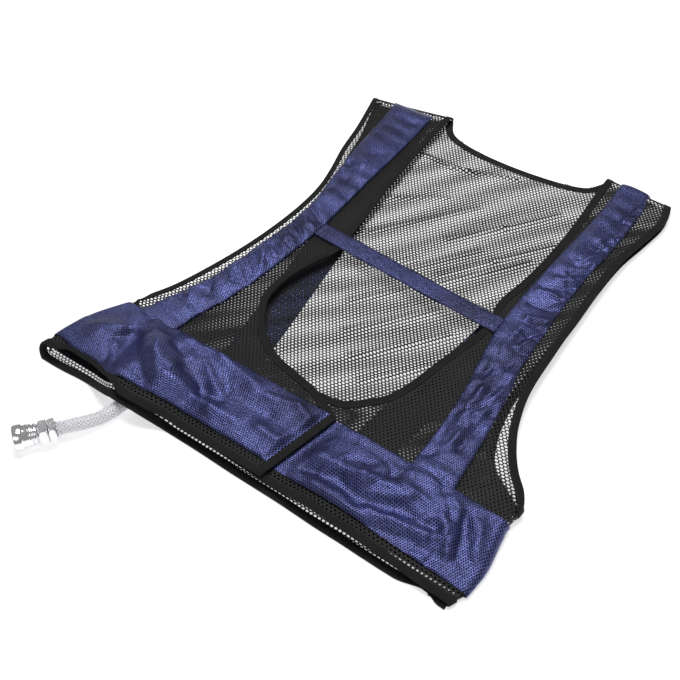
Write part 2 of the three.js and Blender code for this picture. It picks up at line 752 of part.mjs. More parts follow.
// The strap joins the inner edges of the two front ducts, over the front edges' tapes
function addStrap(grids) {
  const strapUp = { right: 0.529, left: 0.503 };
  const strapInset = 1; // the strap's end to the duct's edge
  const over = clothWall + tapeBelow + layerGap;
  const ends = halves.map((half) => {
    const up = strapUp[half];
    const middle = curve(frontDuct[half], 'up', 'out')(up) * halfWidth;
    const reach = (curve(frontDuct[half], 'up', 'wide')(up) * ductWidth) / 2;
    const x = side[half] * (middle - reach - strapInset);
    return new THREE.Vector3(x, up * bodyLength, 0);
  });
  const highest = Math.max(...halves.map((half) => heightNear(grids[half], strapUp[half])));
  const along = ends[1].clone().sub(ends[0]);
  const shape = new THREE.BoxGeometry(along.length(), strapWidth, strapThickness);
  const strap = add('chest_strap', shape, ductColour, 0.45);
  strap.position.copy(ends[0]).add(ends[1]).multiplyScalar(0.5);
  strap.position.z = highest + over + strapThickness / 2;
  strap.rotation.z = Math.atan2(along.y, along.x);
}

// The highest place of the cloth between duct and front edge, where the strap passes over it
function heightNear(grid, up) {
  let high = 0;
  for (const row of grid.points) {
    for (let c = lineOf.ductEnd; c <= lineOf.edge; c += 1) {
      const near = Math.abs(row[c].y - up * bodyLength) < strapWidth + tapeWidth;
      high = near ? Math.max(high, row[c].z) : high;
    }
  }
  return high;
}

// Height of the hose's middle line at each point of its route
function hoseHeight(i) {
  const low = i <= cuffEnd ? cuffRadius : hoseRadius;
  const last = hoseRoute.length - 1;
  const rise = smooth((i - hoseRises + 1) / (last - hoseRises));
  return mix(low, couplingRadius, rise);
}

function roundSection(radius, sides) {
  const section = new THREE.Shape();
  for (let k = 0; k < sides; k += 1) {
    const angle = ((k + 0.5) / sides) * 2 * Math.PI;
    const place = [radius * Math.cos(angle), radius * Math.sin(angle)];
    if (k === 0) {
      section.moveTo(...place);
    } else {
      section.lineTo(...place);
    }
  }
  section.closePath();
  return section;
}

function addHose() {
  const line = hosePlaces.map((point, i) => new THREE.Vector3(point.x, point.y, hoseHeight(i)));
  const path = new THREE.CatmullRomCurve3(line);
  const hose = new THREE.ExtrudeGeometry(roundSection(hoseRadius, 10), {
    steps: 20,
    extrudePath: path,
    bevelEnabled: false,
  });
  add('hose', hose, hoseColour, 0.2);
  // A fabric cuff sewn under the back waist duct holds the hose's end
  const outside = roundSection(cuffRadius, 10);
  outside.holes.push(roundSection(hoseRadius + layerGap, 10));
  const cuff = new THREE.ExtrudeGeometry(outside, {
    steps: 4,
    extrudePath: new THREE.CatmullRomCurve3(line.slice(0, cuffEnd + 1)),
    bevelEnabled: false,
  });
  add('hose_cuff', cuff, ductColour, 0.5);
  return { end: line[line.length - 1], before: line[line.length - 2] };
}

// A turned or hexagonal piece along +Y: its outline as distances along and from the axis
function turned(profile, sides) {
  const outlinePoints = profile.map(([along, radius]) => new THREE.Vector2(radius, along));
  return new THREE.LatheGeometry(outlinePoints, sides);
}

function hexRadius(acrossFlats) {
  return acrossFlats / Math.sqrt(3);
}

function addCoupling({ end, before }) {
  const direction = end.clone().sub(before).setZ(0).normalize();
  const boss = 9; // radius of the necks between the hexagons and the sleeve
  const chamfer = 1.5;
  const nut = hexRadius(nutAcrossFlats);
  const hex = hexRadius(bodyHexAcrossFlats);
  const groove = 2;
  const rim = sleeveDiameter / 2;
  const pieces = [
    {
      name: 'hose_nut',
      sides: 6,
      length: nutLength,
      profile: [[0, 0], [0, nut - chamfer], [chamfer, nut], [nutLength, nut], [nutLength, 0]],
    },
    {
      name: 'coupler_body',
      sides: 6,
      length: bodyHexLength,
      profile: [
        [0, 0], [0, boss], [1, boss], [1, hex - chamfer], [1 + chamfer, hex],
        [bodyHexLength - chamfer, hex], [bodyHexLength, hex - chamfer], [bodyHexLength, 0],
      ],
    },
    {
      name: 'coupler_sleeve',
      sides: 20,
      length: sleeveLength,
      profile: [
        [0, 0], [0, rim - groove], [3, rim - groove], [4, rim - 1], [11, rim - 1],
        [12, rim - groove], [15, rim - groove], [16, rim], [sleeveLength - 1, rim],
        [sleeveLength, rim - 1], [sleeveLength, sleeveBore / 2],
        [sleeveLength - sleeveBoreDepth, sleeveBore / 2], [sleeveLength - sleeveBoreDepth, 0],
      ],
    },
  ];
  const turnTo = new THREE.Quaternion().setFromUnitVectors(new THREE.Vector3(0, 1, 0), direction);
  let along = layerGap;
  for (const piece of pieces) {
    const mesh = add(piece.name, turned(piece.profile, piece.sides), chromeColour, 0.15, 1);
    mesh.quaternion.copy(turnTo);
    mesh.position.copy(end).addScaledVector(direction, along);
    mesh.position.z = couplingRadius;
    along += piece.length + layerGap;
  }
}

const grids = {};
for (const half of halves) {
  grids[half] = addFront(half);
}
addBack();
addStrap(grids);
addCoupling(addHose());

// The origin is under the middle of the vest's own box, without the hose and its coupling
const onHose = ['hose', 'hose_nut', 'coupler_body', 'coupler_sleeve'];
const box = new THREE.Box3();
for (const mesh of vest.children) {
  if (!onHose.includes(mesh.name)) {
    box.expandByObject(mesh, true);
  }
}
const centre = box.getCenter(new THREE.Vector3());
vest.position.set(-centre.x, -centre.y, 0);
vest.updateMatrixWorld(true);

export default vest;
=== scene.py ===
"""Looks of the cooling vest: mesh, satin ducts, binding tape, clear hose and bright coupling.

Shapes are worked out in millimetres from the hem, as in the source, and stored in metres.
X runs across the vest, Y from the hem to the neck, and Z is up.
"""
import math

import bpy
import numpy as np
from mathutils import Matrix, Vector


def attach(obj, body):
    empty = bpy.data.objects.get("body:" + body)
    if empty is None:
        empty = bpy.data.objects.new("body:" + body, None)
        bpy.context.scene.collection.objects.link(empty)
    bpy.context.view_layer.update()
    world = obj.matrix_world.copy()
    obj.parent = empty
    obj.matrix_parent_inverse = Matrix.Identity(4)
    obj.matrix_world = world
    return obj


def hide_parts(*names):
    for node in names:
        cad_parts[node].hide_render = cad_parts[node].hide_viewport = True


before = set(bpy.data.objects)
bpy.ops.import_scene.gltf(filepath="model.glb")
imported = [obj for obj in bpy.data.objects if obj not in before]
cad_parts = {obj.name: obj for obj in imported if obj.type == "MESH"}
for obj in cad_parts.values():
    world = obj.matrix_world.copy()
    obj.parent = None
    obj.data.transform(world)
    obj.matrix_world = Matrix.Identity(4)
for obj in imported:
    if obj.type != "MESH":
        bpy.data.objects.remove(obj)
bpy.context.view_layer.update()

# Sizes in millimetres; the driving ones are those of the source
BODY_LENGTH = 650
HALF_WIDTH = 280
TAPE_WIDTH = 9.5
TAPE_THICKNESS = 2.4
LOFT = 13
FLAP_DROP = 6
DUCT_WIDTH = 50
BAND_HEIGHT = 87
BAND_ABOVE = 18
SEAM_UP = BAND_ABOVE + BAND_HEIGHT  # the upper edge of the waist ducts
BAND_HIGH = 5.6
DUCT_HIGH = 5.0
FOLD_SHARE = 1.7
SIDE_SWELL = {"right": 0.4, "left": 0.12}
SIDE_FOLDS = 0.35
OPEN_TOP = {"right": 0.45, "left": 0.95}
BAND_STEP = 2.2
WRAP_STEPS = 14
UNDER = 16  # how far the waist ducts run on under the back
BACK_TOP = {"right": 0.962, "left": 0.998}
STRAP_WIDTH = 25
STRAP_TOP = 19.2
STRAP_UP = {"right": 0.529, "left": 0.503}
HOSE_DIAMETER = 17.5
CUFF_RADIUS = 10.55
CUFF_HOLE = 9.1
HOSE_CORE = 5.4
BRAID_RADIUS = 6.9
BRAID_GAP = 0.15  # how far each of two crossing yarns is moved in or out
BRAID_YARNS = 10
BRAID_STEP = 1.6
BRAID_TURN = 7.5  # length over which a yarn turns by one radian
YARN_WIDE = 0.75
YARN_THICK = 0.25
HUMP_GAP = 1.2
HUMP_FLAT = 19
HEM_SLIP = 0.5
HOSE_SQUEEZE = 0.4
HUMP_REACH = 62
MESH_LIFT = 1.5
NET_LIFT = 0.6  # front net over the panel's lower face
CLOTH_LIFT = 1.9  # duct cloth over the front net
UNDER_LIFT = 0.85  # waist duct under the back
BACK_CLOTH_LIFT = 0.2  # blue cloth under the back, over the floor
FLOOR_GAP = 0.05  # the least height of a binding
SEAM_LIFT = 3.3
COUPLING_HEIGHT = 15
HEX_SIDES = 72
HEX_TURN = math.radians(130)
SHIFT = np.array([2.4647, -321.7251, 0.0])  # from the hem's frame to the part's own
SIDE = {"right": -1, "left": 1}
FOLD_RADIUS = 7
ARMPIT_RADIUS = 5
SEAM_WIDTH = 3.5
ARM_TAPE_WIDTH = {"right": 7.0, "left": TAPE_WIDTH}  # the right one lies rolled over
TUCK_START = 268
TUCK_END = 150
HEM_TUCK = 9  # how far the right hem is drawn up where its strip is folded away
BAND_DROP = 4  # how far the duct comes down over that fold
SIDE_TUCK = 4.5  # how far the left side is drawn in beside the waist duct
CORNER_PULL = 5
STITCH_IN = 1.6
STITCH_PITCH = 3.2
STITCH_LENGTH = 2.0
THREAD_RADIUS = 0.22
STITCH_RISE = 0.28
TAPE_TOP = 1.75
BACK_TAPE_TOP = 0.85
BACK_TAPE_MIDDLE = -0.3
UP = np.array([0, 0, 1.0])

# Net of a mesh cloth: six-sided cells in staggered rows, each with a hole
CELL_WIDTH = 5.1
CELL_RISE = 3.5
CELL_TALL = 2.15  # middle of a cell to its upper corner
CELL_SHOULDER = 1.35
CELL_DISH = 0.25  # how far a hole's rim lies under the cell's corners
BACK_HOLE = 0.62  # how far a hole reaches from its cell's middle to the corner
FRONT_HOLE = 0.5
OPEN_HOLE = 0.68
COVERED_SHARE = 0.6  # the back's cells are drawn together under the fronts

# Weaves, in millimetres, and the step of the texture coordinates
UV_STEP = 100.0
DOT_WIDE = 2.8
DOT_TALL = 2.3
DOT_RADIUS = 0.8
DOT_SOFT = 0.35
THREAD_PITCH = 0.55
TURNING_PITCH = 0.35

# View, in degrees and metres; the target is in the hem's frame
AZIMUTH, ELEVATION, ROLL = np.radians([35.15, 49.3, -0.56])
DISTANCE = 1.17217
LENS = 52.94
TARGET = [-12.76, 218.45, 0]
FLOOR_REACH = 6.0


def rows_of(columns, rows):
    names = columns.split()
    return [dict(zip(names, row)) for row in rows]


OUTLINE = {
    "right": rows_of("up out back_in", [
        (0.0, 1.026, 0.02), (0.045, 0.996, 0.012), (0.095, 0.96, 0.01), (0.14, 0.914, 0.008),
        (0.19, 0.858, 0.008), (0.25, 0.79, 0.016), (0.32, 0.737, 0.022), (0.4, 0.69, 0.026),
        (0.48, 0.658, 0.026), (0.56, 0.641, 0.026), (0.63, 0.645, 0.026), (0.69, 0.672, 0.026),
        (0.76, 0.718, 0.026), (0.84, 0.757, 0.024), (0.91, 0.8, 0.014), (1.0, 0.856, 0.0),
    ]),
    "left": rows_of("up out back_in", [
        (0.0, 0.975, 0.008), (0.04, 0.993, 0.008), (0.08, 0.998, 0.008), (0.13, 0.986, 0.008),
        (0.172, 0.974, 0.008), (0.2, 0.978, 0.01), (0.222, 0.952, 0.055), (0.25, 0.894, 0.088),
        (0.285, 0.842, 0.08), (0.33, 0.796, 0.064), (0.4, 0.758, 0.044), (0.5, 0.748, 0.022),
        (0.6, 0.744, 0.01), (0.7, 0.744, 0.01), (0.79, 0.754, 0.008), (0.87, 0.784, 0.004),
        (0.94, 0.805, 0.004), (1.0, 0.775, 0.0),
    ]),
}
FRONT_EDGE = {
    "right": rows_of("out up", [
        (-0.164, 0.182), (-0.064, 0.203), (0.043, 0.214), (0.164, 0.226), (0.257, 0.248),
        (0.339, 0.282), (0.4, 0.33), (0.402, 0.388), (0.372, 0.44), (0.318, 0.504),
        (0.329, 0.568), (0.346, 0.64), (0.366, 0.716), (0.381, 0.79), (0.393, 0.862),
        (0.4, 0.93),
    ]),
    "left": rows_of("out up", [
        (-0.15, 0.18), (-0.05, 0.2), (0.06, 0.208), (0.16, 0.214), (0.235, 0.234),
        (0.3, 0.262), (0.342, 0.31), (0.372, 0.368), (0.408, 0.43), (0.436, 0.492),
        (0.418, 0.56), (0.446, 0.635), (0.462, 0.71), (0.466, 0.785), (0.462, 0.858),
        (0.452, 0.93),
    ]),
}
# The back hem's lower edge, in millimetres, wavy where it lies loose
HEM_LINE = rows_of("across up", [
    (-290, 0), (-255, 0), (-215, 2.5), (-60, 2.5), (0, 0.8), (60, 0), (85, -1), (110, -2),
    (140, -2.4), (165, -3.2), (203, -3.8), (212, -2.8), (221, -0.4), (231, 2.0), (238, 1.6),
    (244, 0.2), (251, -3.2), (258, -4.2), (270, -3.6),
])
SIDE_UP = {"right": 0.19, "left": 0.2}
CORNERS = {
    "right": dict(tip_out=0.404, tip_up=1.0, shoulder_up=0.962, end_hem=-0.118, end_top=-0.204,
                  hem_out=0.012, hem_in=0.012),
    "left": dict(tip_out=0.45, tip_up=1.004, shoulder_up=0.994, end_hem=-0.14, end_top=-0.18,
                 hem_out=0.0, hem_in=0.015),
}
FRONT_DUCT = {
    "right": rows_of("up out wide", [
        (0.166, 0.7, 1.08), (0.22, 0.668, 0.96), (0.26, 0.632, 0.93), (0.315, 0.596, 0.86),
        (0.38, 0.57, 0.84), (0.45, 0.55, 0.8), (0.52, 0.532, 0.76), (0.6, 0.532, 0.78),
        (0.67, 0.545, 0.9), (0.77, 0.562, 1.07), (0.88, 0.578, 1.17), (0.975, 0.6, 1.27),
    ]),
    "left": rows_of("up out wide", [
        (0.166, 0.645, 1.06), (0.24, 0.638, 0.98), (0.31, 0.628, 0.94), (0.38, 0.608, 0.94),
        (0.43, 0.59, 0.94), (0.49, 0.578, 1.0), (0.55, 0.574, 1.0), (0.63, 0.577, 0.94),
        (0.72, 0.588, 0.92), (0.82, 0.604, 0.92), (0.92, 0.61, 0.9), (0.98, 0.598, 0.82),
    ]),
}
BACK_DUCT = {
    "right": rows_of("up out wide", [
        (0.166, 0.308, 1.0), (0.26, 0.337, 1.0), (0.51, 0.418, 1.0), (0.75, 0.507, 1.05),
        (0.98, 0.6, 1.2),
    ]),
    "left": rows_of("up out wide", [
        (0.166, 0.36, 1.0), (0.3, 0.402, 1.0), (0.37, 0.44, 1.0), (0.5, 0.484, 1.0),
        (0.75, 0.55, 0.95), (0.98, 0.598, 0.82),
    ]),
}
NECK = rows_of("across up", [
    (0.0, 0.985), (0.082, 1.003), (0.16, 0.957), (0.35, 0.938), (0.62, 0.939), (0.85, 0.959),
    (0.93, 1.006), (1.0, 1.003),
])
PUFFS = rows_of("x up reach rise", [
    (-0.92, 0.04, 0.24, 0.4), (0.94, 0.0, 0.24, -0.7), (0.8, 0.13, 0.16, 0.2),
    (-0.6, 0.98, 0.3, -0.45), (0.62, 0.99, 0.3, -0.45),
])
# Folds of the cloth: a ridge, or a valley where high is negative, from one point to another.
# Places, half widths and heights are in millimetres.
BAND_FOLDS = rows_of("x1 y1 x2 y2 wide high", [
    (-199, 62, -172, 42, 13, -5.5), (-172, 42, -138, 27, 10, -4.5),
    (-252, 52, -214, 60, 18, 4.0), (-214, 54, -203, 69, 8, -3.5),
    (-180, 84, -130, 34, 15, 4.5), (-147, 80, -114, 60, 9, -3.5),
    (-114, 62, -84, 48, 9, -4.0), (-84, 48, -60, 50, 8, -2.5),
    (-122, 41, -60, 34, 11, 3.5), (-60, 36, -32, 38, 10, 2.5),
    (-140, 97, -96, 100, 12, 3.5), (-96, 100, -40, 88, 12, 3.0),
    (-22, 84, 16, 92, 8, 2.2), (16, 92, 42, 82, 7, 2.2), (-3, 45, 36, 41, 8, 2.4),
    (-60, 66, -6, 62, 16, -2.4), (-4, 66, 30, 62, 12, -1.8),
    (66, 36, 102, 41, 8, -4.5), (102, 41, 132, 37, 8, -4.5), (132, 37, 176, 52, 9, -4.0),
    (176, 52, 214, 55, 9, -3.0), (64, 54, 124, 60, 12, 3.4), (124, 60, 176, 72, 13, 3.4),
    (84, 24, 150, 22, 10, 3.0), (160, 20, 198, 27, 9, -3.4), (198, 27, 232, 35, 9, -3.0),
    (150, 34, 210, 42, 8, 2.6), (232, 84, 246, 54, 7, -5.0), (246, 54, 272, 28, 7, -4.5),
    (250, 84, 264, 56, 9, 4.0), (193, 104, 219, 74, 9, -3.2), (206, 88, 236, 40, 10, 3.2),
    (70, 92, 150, 96, 12, -1.6), (160, 94, 200, 100, 8, 1.8),
])
DUCT_FOLDS = rows_of("x1 y1 x2 y2 wide high", [
    (-196, 560, -150, 470, 12, 2.6), (-150, 596, -140, 520, 9, -2.0),
    (-172, 470, -140, 410, 10, -2.2), (-178, 430, -160, 380, 9, 2.4),
    (-172, 372, -134, 352, 6, -3.2), (-170, 352, -136, 338, 5, 2.6),
    (-168, 336, -138, 318, 5, -3.2), (-170, 318, -140, 300, 5, 2.4),
    (-172, 298, -142, 272, 6, -2.6), (-178, 282, -150, 250, 6, 2.6),
    (-190, 262, -150, 228, 6, -2.4), (-186, 238, -160, 200, 7, 2.4),
    (-200, 214, -172, 176, 7, -2.4), (-206, 190, -180, 140, 8, 2.2),
    (192, 640, 178, 560, 6, -4.0), (188, 560, 176, 500, 6, -3.0),
    (160, 560, 152, 450, 12, 2.2), (186, 500, 170, 470, 5, 2.8), (190, 462, 166, 446, 5, -3.2),
    (186, 440, 158, 428, 5, 3.0), (186, 424, 150, 410, 5, -2.8), (184, 404, 148, 398, 5, 3.2),
    (184, 386, 150, 378, 6, -2.6), (186, 366, 160, 352, 5, 2.6), (184, 350, 166, 316, 6, -3.4),
    (160, 350, 158, 290, 7, 2.8), (176, 300, 172, 240, 7, -2.8), (156, 290, 162, 220, 7, -2.2),
    (188, 280, 184, 200, 6, 2.4), (170, 230, 178, 150, 8, 2.4), (192, 210, 186, 150, 6, -2.6),
    (158, 190, 164, 130, 7, -2.4),
])
MESH_FOLDS = rows_of("x1 y1 x2 y2 wide high", [
    (-113, 563, -63, 557, 4, 2.4), (-63, 557, 27, 588, 4, 3.0),
    (103, 556, 56, 493, 6, 3.6), (56, 493, 6, 434, 6, 3.2), (122, 500, 75, 432, 6, 4.0),
    (75, 432, 30, 372, 6, 3.2), (112, 455, 37, 362, 5, 3.2), (-112, 562, -22, 566, 4, 2.2),
    (-100, 459, -32, 503, 5, 2.4), (-84, 390, 11, 508, 5, 2.8), (-14, 350, 50, 439, 6, 2.8),
    (-37, 275, 30, 351, 6, 3.0), (-15, 232, 61, 322, 6, 3.0), (12, 203, 91, 295, 6, 2.8),
    (42, 179, 112, 259, 6, 2.6), (-60, 330, -8, 380, 6, 2.4),
])
HOSE_ROUTE = [
    (-143, 46), (-145, 36), (-147.5, 25), (-150.5, 13), (-153, 0), (-155.5, -13),
    (-159, -26), (-164.5, -38), (-171, -49), (-178, -59), (-184.5, -67),
]
CUFF_END = 2
HEM_CROSSING = 4
HOSE_RISES = 6
SLEEVE_PROFILE = [
    (-0.4, 6.0), (-0.4, 9.8), (0.1, 10.4), (1.6, 10.4), (2.0, 11.8), (2.5, 12.2), (4.6, 12.2),
    (5.0, 11.6), (5.3, 11.0), (6.2, 11.0), (6.6, 12.2), (7.1, 12.7), (9.4, 12.7), (9.7, 12.3),
    (10.1, 12.3), (10.4, 12.7), (15.4, 12.9), (16.2, 13.6), (17.0, 14.7), (17.6, 15.0),
    (24.8, 15.0), (25.6, 14.8), (26.0, 14.3), (26.0, 12.4), (25.6, 11.9), (24.0, 11.2),
    (21.0, 8.6), (6.4, 8.5), (6.2, 8.0), (6.2, 3.0), (6.0, 0.05),
]


# Curves and heights

def smooth(t):
    """0 to 1 with a soft start and end."""
    held = np.clip(t, 0, 1)
    return held * held * (3 - 2 * held)


def mix(a, b, t):
    return a + (b - a) * t


def curve(table, key, value):
    """A smooth curve through a table's rows."""
    keys = np.array([row[key] for row in table], float)
    values = np.array([row[value] for row in table], float)
    count = len(keys)
    before = np.maximum(np.arange(count) - 1, 0)
    after = np.minimum(np.arange(count) + 1, count - 1)
    slopes = (values[after] - values[before]) / (keys[after] - keys[before])

    def at(place):
        place = np.clip(np.asarray(place, float), keys[0], keys[-1])
        i = np.clip(np.searchsorted(keys, place, side="right") - 1, 0, count - 2)
        width = keys[i + 1] - keys[i]
        t = (place - keys[i]) / width
        start = values[i] * (1 + 2 * t) * (1 - t) ** 2
        end = values[i + 1] * t * t * (3 - 2 * t)
        leave = slopes[i] * width * t * (1 - t) ** 2
        arrive = slopes[i + 1] * width * t * t * (t - 1)
        return start + end + leave + arrive

    return at


def to_stretch(x, y, a, b):
    """Distance from points to the stretch between a and b."""
    dx = b[0] - a[0]
    dy = b[1] - a[1]
    t = np.clip(((x - a[0]) * dx + (y - a[1]) * dy) / (dx * dx + dy * dy), 0, 1)
    return np.hypot(x - a[0] - dx * t, y - a[1] - dy * t)


def hump(x, y):
    """How far the hose and its cuff lift the back off the floor."""
    lift = np.zeros(np.broadcast(x, y).shape)
    for i in range(HEM_CROSSING + 1):
        far = to_stretch(x, y, HOSE_ROUTE[i], HOSE_ROUTE[i + 1])
        top = (2 * CUFF_RADIUS if i < CUFF_END else HOSE_DIAMETER) + HUMP_GAP
        lift = np.maximum(lift, top * (1 - smooth((far - HUMP_FLAT) / (HUMP_REACH - HUMP_FLAT))))
    return lift


def lay(x, y, z):
    """Points at a height, slid towards the hem where the hose lifts the cloth."""
    slip = HEM_SLIP * hump(x, np.zeros(np.shape(x))) * (1 - smooth(y / SEAM_UP))
    return np.stack([x, y - slip, z], -1)


def fold_height(folds, x, y):
    """How far folds lift the cloth."""
    height = np.zeros(np.broadcast(x, y).shape)
    for fold in folds:
        far = to_stretch(x, y, (fold["x1"], fold["y1"]), (fold["x2"], fold["y2"]))
        height += fold["high"] * np.exp(-1.5 * (far / fold["wide"]) ** 1.5)
    return height


def crumples(seed, count, start, end, spread, angle, length, wide, high):
    """Short creases strewn along a line, ridges and valleys by turns, the same in each run."""
    random = np.random.default_rng(seed)
    creases = []
    for k in range(count):
        t = random.random()
        x = mix(start[0], end[0], t) + random.normal() * spread
        y = mix(start[1], end[1], t) + random.normal() * spread
        turn = math.radians(angle + random.normal() * 26)
        reach = length * (0.5 + random.random()) / 2
        size = 0.6 + 0.8 * random.random()
        dx = reach * math.cos(turn)
        dy = reach * math.sin(turn)
        creases.append({
            "x1": x - dx, "y1": y - dy, "x2": x + dx, "y2": y + dy,
            "wide": wide * size, "high": high * size * (1 if k % 2 else -1),
        })
    return creases


FOLDS = (
    BAND_FOLDS + DUCT_FOLDS
    + crumples(3, 34, (178, 300), (180, 545), 5, 30, 19, 3.0, 1.9)
    + crumples(4, 16, (187, 470), (192, 610), 3, -15, 12, 2.6, 1.6)
    + crumples(5, 16, (176, 130), (168, 290), 8, 80, 42, 4.5, 1.5)
    + crumples(6, 26, (-190, 140), (-150, 335), 9, 140, 24, 3.4, 1.3)
    + crumples(7, 6, (-150, 350), (-165, 600), 9, 60, 40, 6.0, 1.0)
    + crumples(8, 22, (-255, 60), (-70, 70), 16, 150, 34, 4.5, 1.2)
    + crumples(9, 26, (70, 60), (262, 62), 16, 20, 34, 4.5, 1.2)
)


def ripple(x, y, size, seed):
    """Slow uneven waves between -1 and 1, the same in each run."""
    total = np.zeros(np.broadcast(x, y).shape)
    for k in range(4):
        angle = seed * 1.7 + k * 2.4
        along = (x * math.cos(angle) + y * math.sin(angle)) / (size * (1 + 0.35 * k))
        across = (x * math.sin(angle) - y * math.cos(angle)) / (size * 2.3)
        total += np.sin(2 * math.pi * along + 2.1 * np.sin(2 * math.pi * across + seed + k))
    return total / 4


def edge_out(half, y, back=False):
    """How far out a half's edge lies at a height over the hem."""
    high = np.asarray(y, float)
    out = curve(OUTLINE[half], "up", "out")(high / BODY_LENGTH)
    if back:
        out = out - curve(OUTLINE[half], "up", "back_in")(high / BODY_LENGTH)
    pulled = 0
    if half == "left":
        pulled = CORNER_PULL * (1 - smooth(high / 22)) + SIDE_TUCK * (1 - smooth((high - 95) / 25))
    return out * HALF_WIDTH - pulled


def duct_at(table, half, up):
    """How far out the middle of a duct lies, and half its width."""
    middle = curve(table[half], "up", "out")(up) * HALF_WIDTH
    return middle, curve(table[half], "up", "wide")(up) * DUCT_WIDTH / 2


def back_height(x, y):
    return MESH_LIFT + hump(x, y)


def back_relief(x, y):
    """The back mesh's own folds, away from the tapes."""
    inside = smooth((y - 40) / 60)
    slant = (0.79 * x - 0.62 * y) / 33 + 0.25 * np.sin(y / 60)
    waves = 0.7 * (1 + np.sin(2 * math.pi * slant)) * inside
    return fold_height(MESH_FOLDS, x, y) * inside + waves


def between(half, x, outer, inner):
    """0 at the outer end of a front's edge, 1 at its inner end."""
    return np.clip((outer - SIDE[half] * x) / (outer - inner * HALF_WIDTH), 0, 1)


def shoulder_line(half, x):
    ends = CORNERS[half]
    t = between(half, x, float(edge_out(half, BODY_LENGTH)), ends["tip_out"])
    return mix(ends["shoulder_up"], ends["tip_up"], t) * BODY_LENGTH


def hem_at(half, x):
    ends = CORNERS[half]
    t = between(half, x, float(edge_out(half, 0)), ends["end_hem"])
    return mix(ends["hem_out"], ends["hem_in"], t) * BODY_LENGTH


def front_loft(half, x, y):
    """How far a front puffs up over the back."""
    share = np.ones(np.broadcast(x, y).shape)
    for puff in PUFFS:
        far = np.hypot(x - puff["x"] * HALF_WIDTH, y - puff["up"] * BODY_LENGTH)
        share = share + puff["rise"] * (1 - smooth(far / (puff["reach"] * BODY_LENGTH)))
    low = 0
    if half == "left":
        covered = smooth((0.36 * HALF_WIDTH - x) / (0.2 * HALF_WIDTH))
        low = covered * (1 - smooth((y / BODY_LENGTH - 0.2) / 0.06))
    return LOFT * share - HOSE_SQUEEZE * hump(x, y) - FLAP_DROP * low


def rounded_in(distance, reach):
    """0 to 1 over a reach, steep at first, as a fold is."""
    return np.sqrt(1 - (1 - np.clip(distance / reach, 0, 1)) ** 2)


def front_height(half, x, y, at_side=True):
    """Height of the lower face of a front panel."""
    rise = 1
    if at_side:
        fold = 0.5 + 0.5 * rounded_in(edge_out(half, y) - SIDE[half] * x, FOLD_RADIUS)
        below = 1 - smooth((y - SIDE_UP[half] * BODY_LENGTH) / 18)
        rise = mix(1, fold, below)
    rise = rise * (0.1 + 0.9 * rounded_in(shoulder_line(half, x) - y, 12))
    return SEAM_LIFT + hump(x, y) + front_loft(half, x, y) * rise


# Making objects

def to_metres(points):
    return (np.asarray(points, float) + SHIFT) / 1000


def link(name, data):
    thing = bpy.data.objects.new(name, data)
    bpy.context.scene.collection.objects.link(thing)
    return thing


def new_object(name, vertices, faces, material, uv=None, shade=True):
    data = bpy.data.meshes.new(name)
    data.from_pydata(to_metres(vertices).tolist(), [], [list(map(int, f)) for f in faces])
    data.update()
    if uv is not None:
        layer = data.uv_layers.new(name="UVMap")
        loops = np.zeros(len(data.loops), int)
        data.loops.foreach_get("vertex_index", loops)
        places = np.asarray(uv, float).reshape(-1, 2)[loops]
        layer.data.foreach_set("uv", (places / UV_STEP).ravel())
    if shade:
        data.polygons.foreach_set("use_smooth", [True] * len(data.polygons))
    data.materials.append(material)
    return link(name, data)


def finish_piece(piece, slot, *nodes):
    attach(piece, "root")
    if nodes:
        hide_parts(*nodes)
    return piece


def grid_faces(rows, columns, around=False):
    index = np.arange(rows * columns).reshape(rows, columns)
    if around:
        index = np.hstack([index, index[:, :1]])
    corners = [index[:-1, :-1], index[:-1, 1:], index[1:, 1:], index[1:, :-1]]
    return np.stack([corner.ravel() for corner in corners], 1)


def closed_faces(rows, columns):
    """Faces of a closed tube of rings: its round and its two ends."""
    faces = grid_faces(rows, columns, around=True).tolist()
    last = (rows - 1) * columns
    return faces + [list(range(columns))[::-1], list(range(last, last + columns))]


def normals_of(points, turn=1.0):
    """The direction that a grid of points faces."""
    normal = np.cross(np.gradient(points, axis=1), np.gradient(points, axis=0)) * turn
    length = np.linalg.norm(normal, axis=2, keepdims=True)
    return normal / np.maximum(length, 1e-9)


def lengths_along(points, axis):
    """How far along the cloth each grid point lies, measured along one axis."""
    step = np.linalg.norm(np.diff(points, axis=axis), axis=2)
    start = np.zeros_like(np.take(step, [0], axis=axis))
    return np.concatenate([start, np.cumsum(step, axis=axis)], axis=axis)


def cloth(name, node, points, material, turn=1.0, flat=None):
    """A sheet over a grid of points, with the size of its unfolded form, flat, as texture
    coordinates."""
    faces = grid_faces(*points.shape[:2])
    if turn < 0:
        faces = faces[:, ::-1]
    flat = points if flat is None else flat
    uv = np.stack([lengths_along(flat, 1), lengths_along(flat, 0)], 2)
    piece = new_object(name, points.reshape(-1, 3), faces, material, uv)
    return finish_piece(piece, "duct", node)


def rounded_section(width, thickness, count=12):
    """Places (in from the edge, height) round a soft flat strip."""
    angles = np.arange(count) * 2 * math.pi / count + math.pi / count
    across = np.sign(np.cos(angles)) * np.abs(np.cos(angles)) ** 0.45
    high = np.sign(np.sin(angles)) * np.abs(np.sin(angles)) ** 0.6
    return width / 2 * (1 - across), thickness / 2 * high


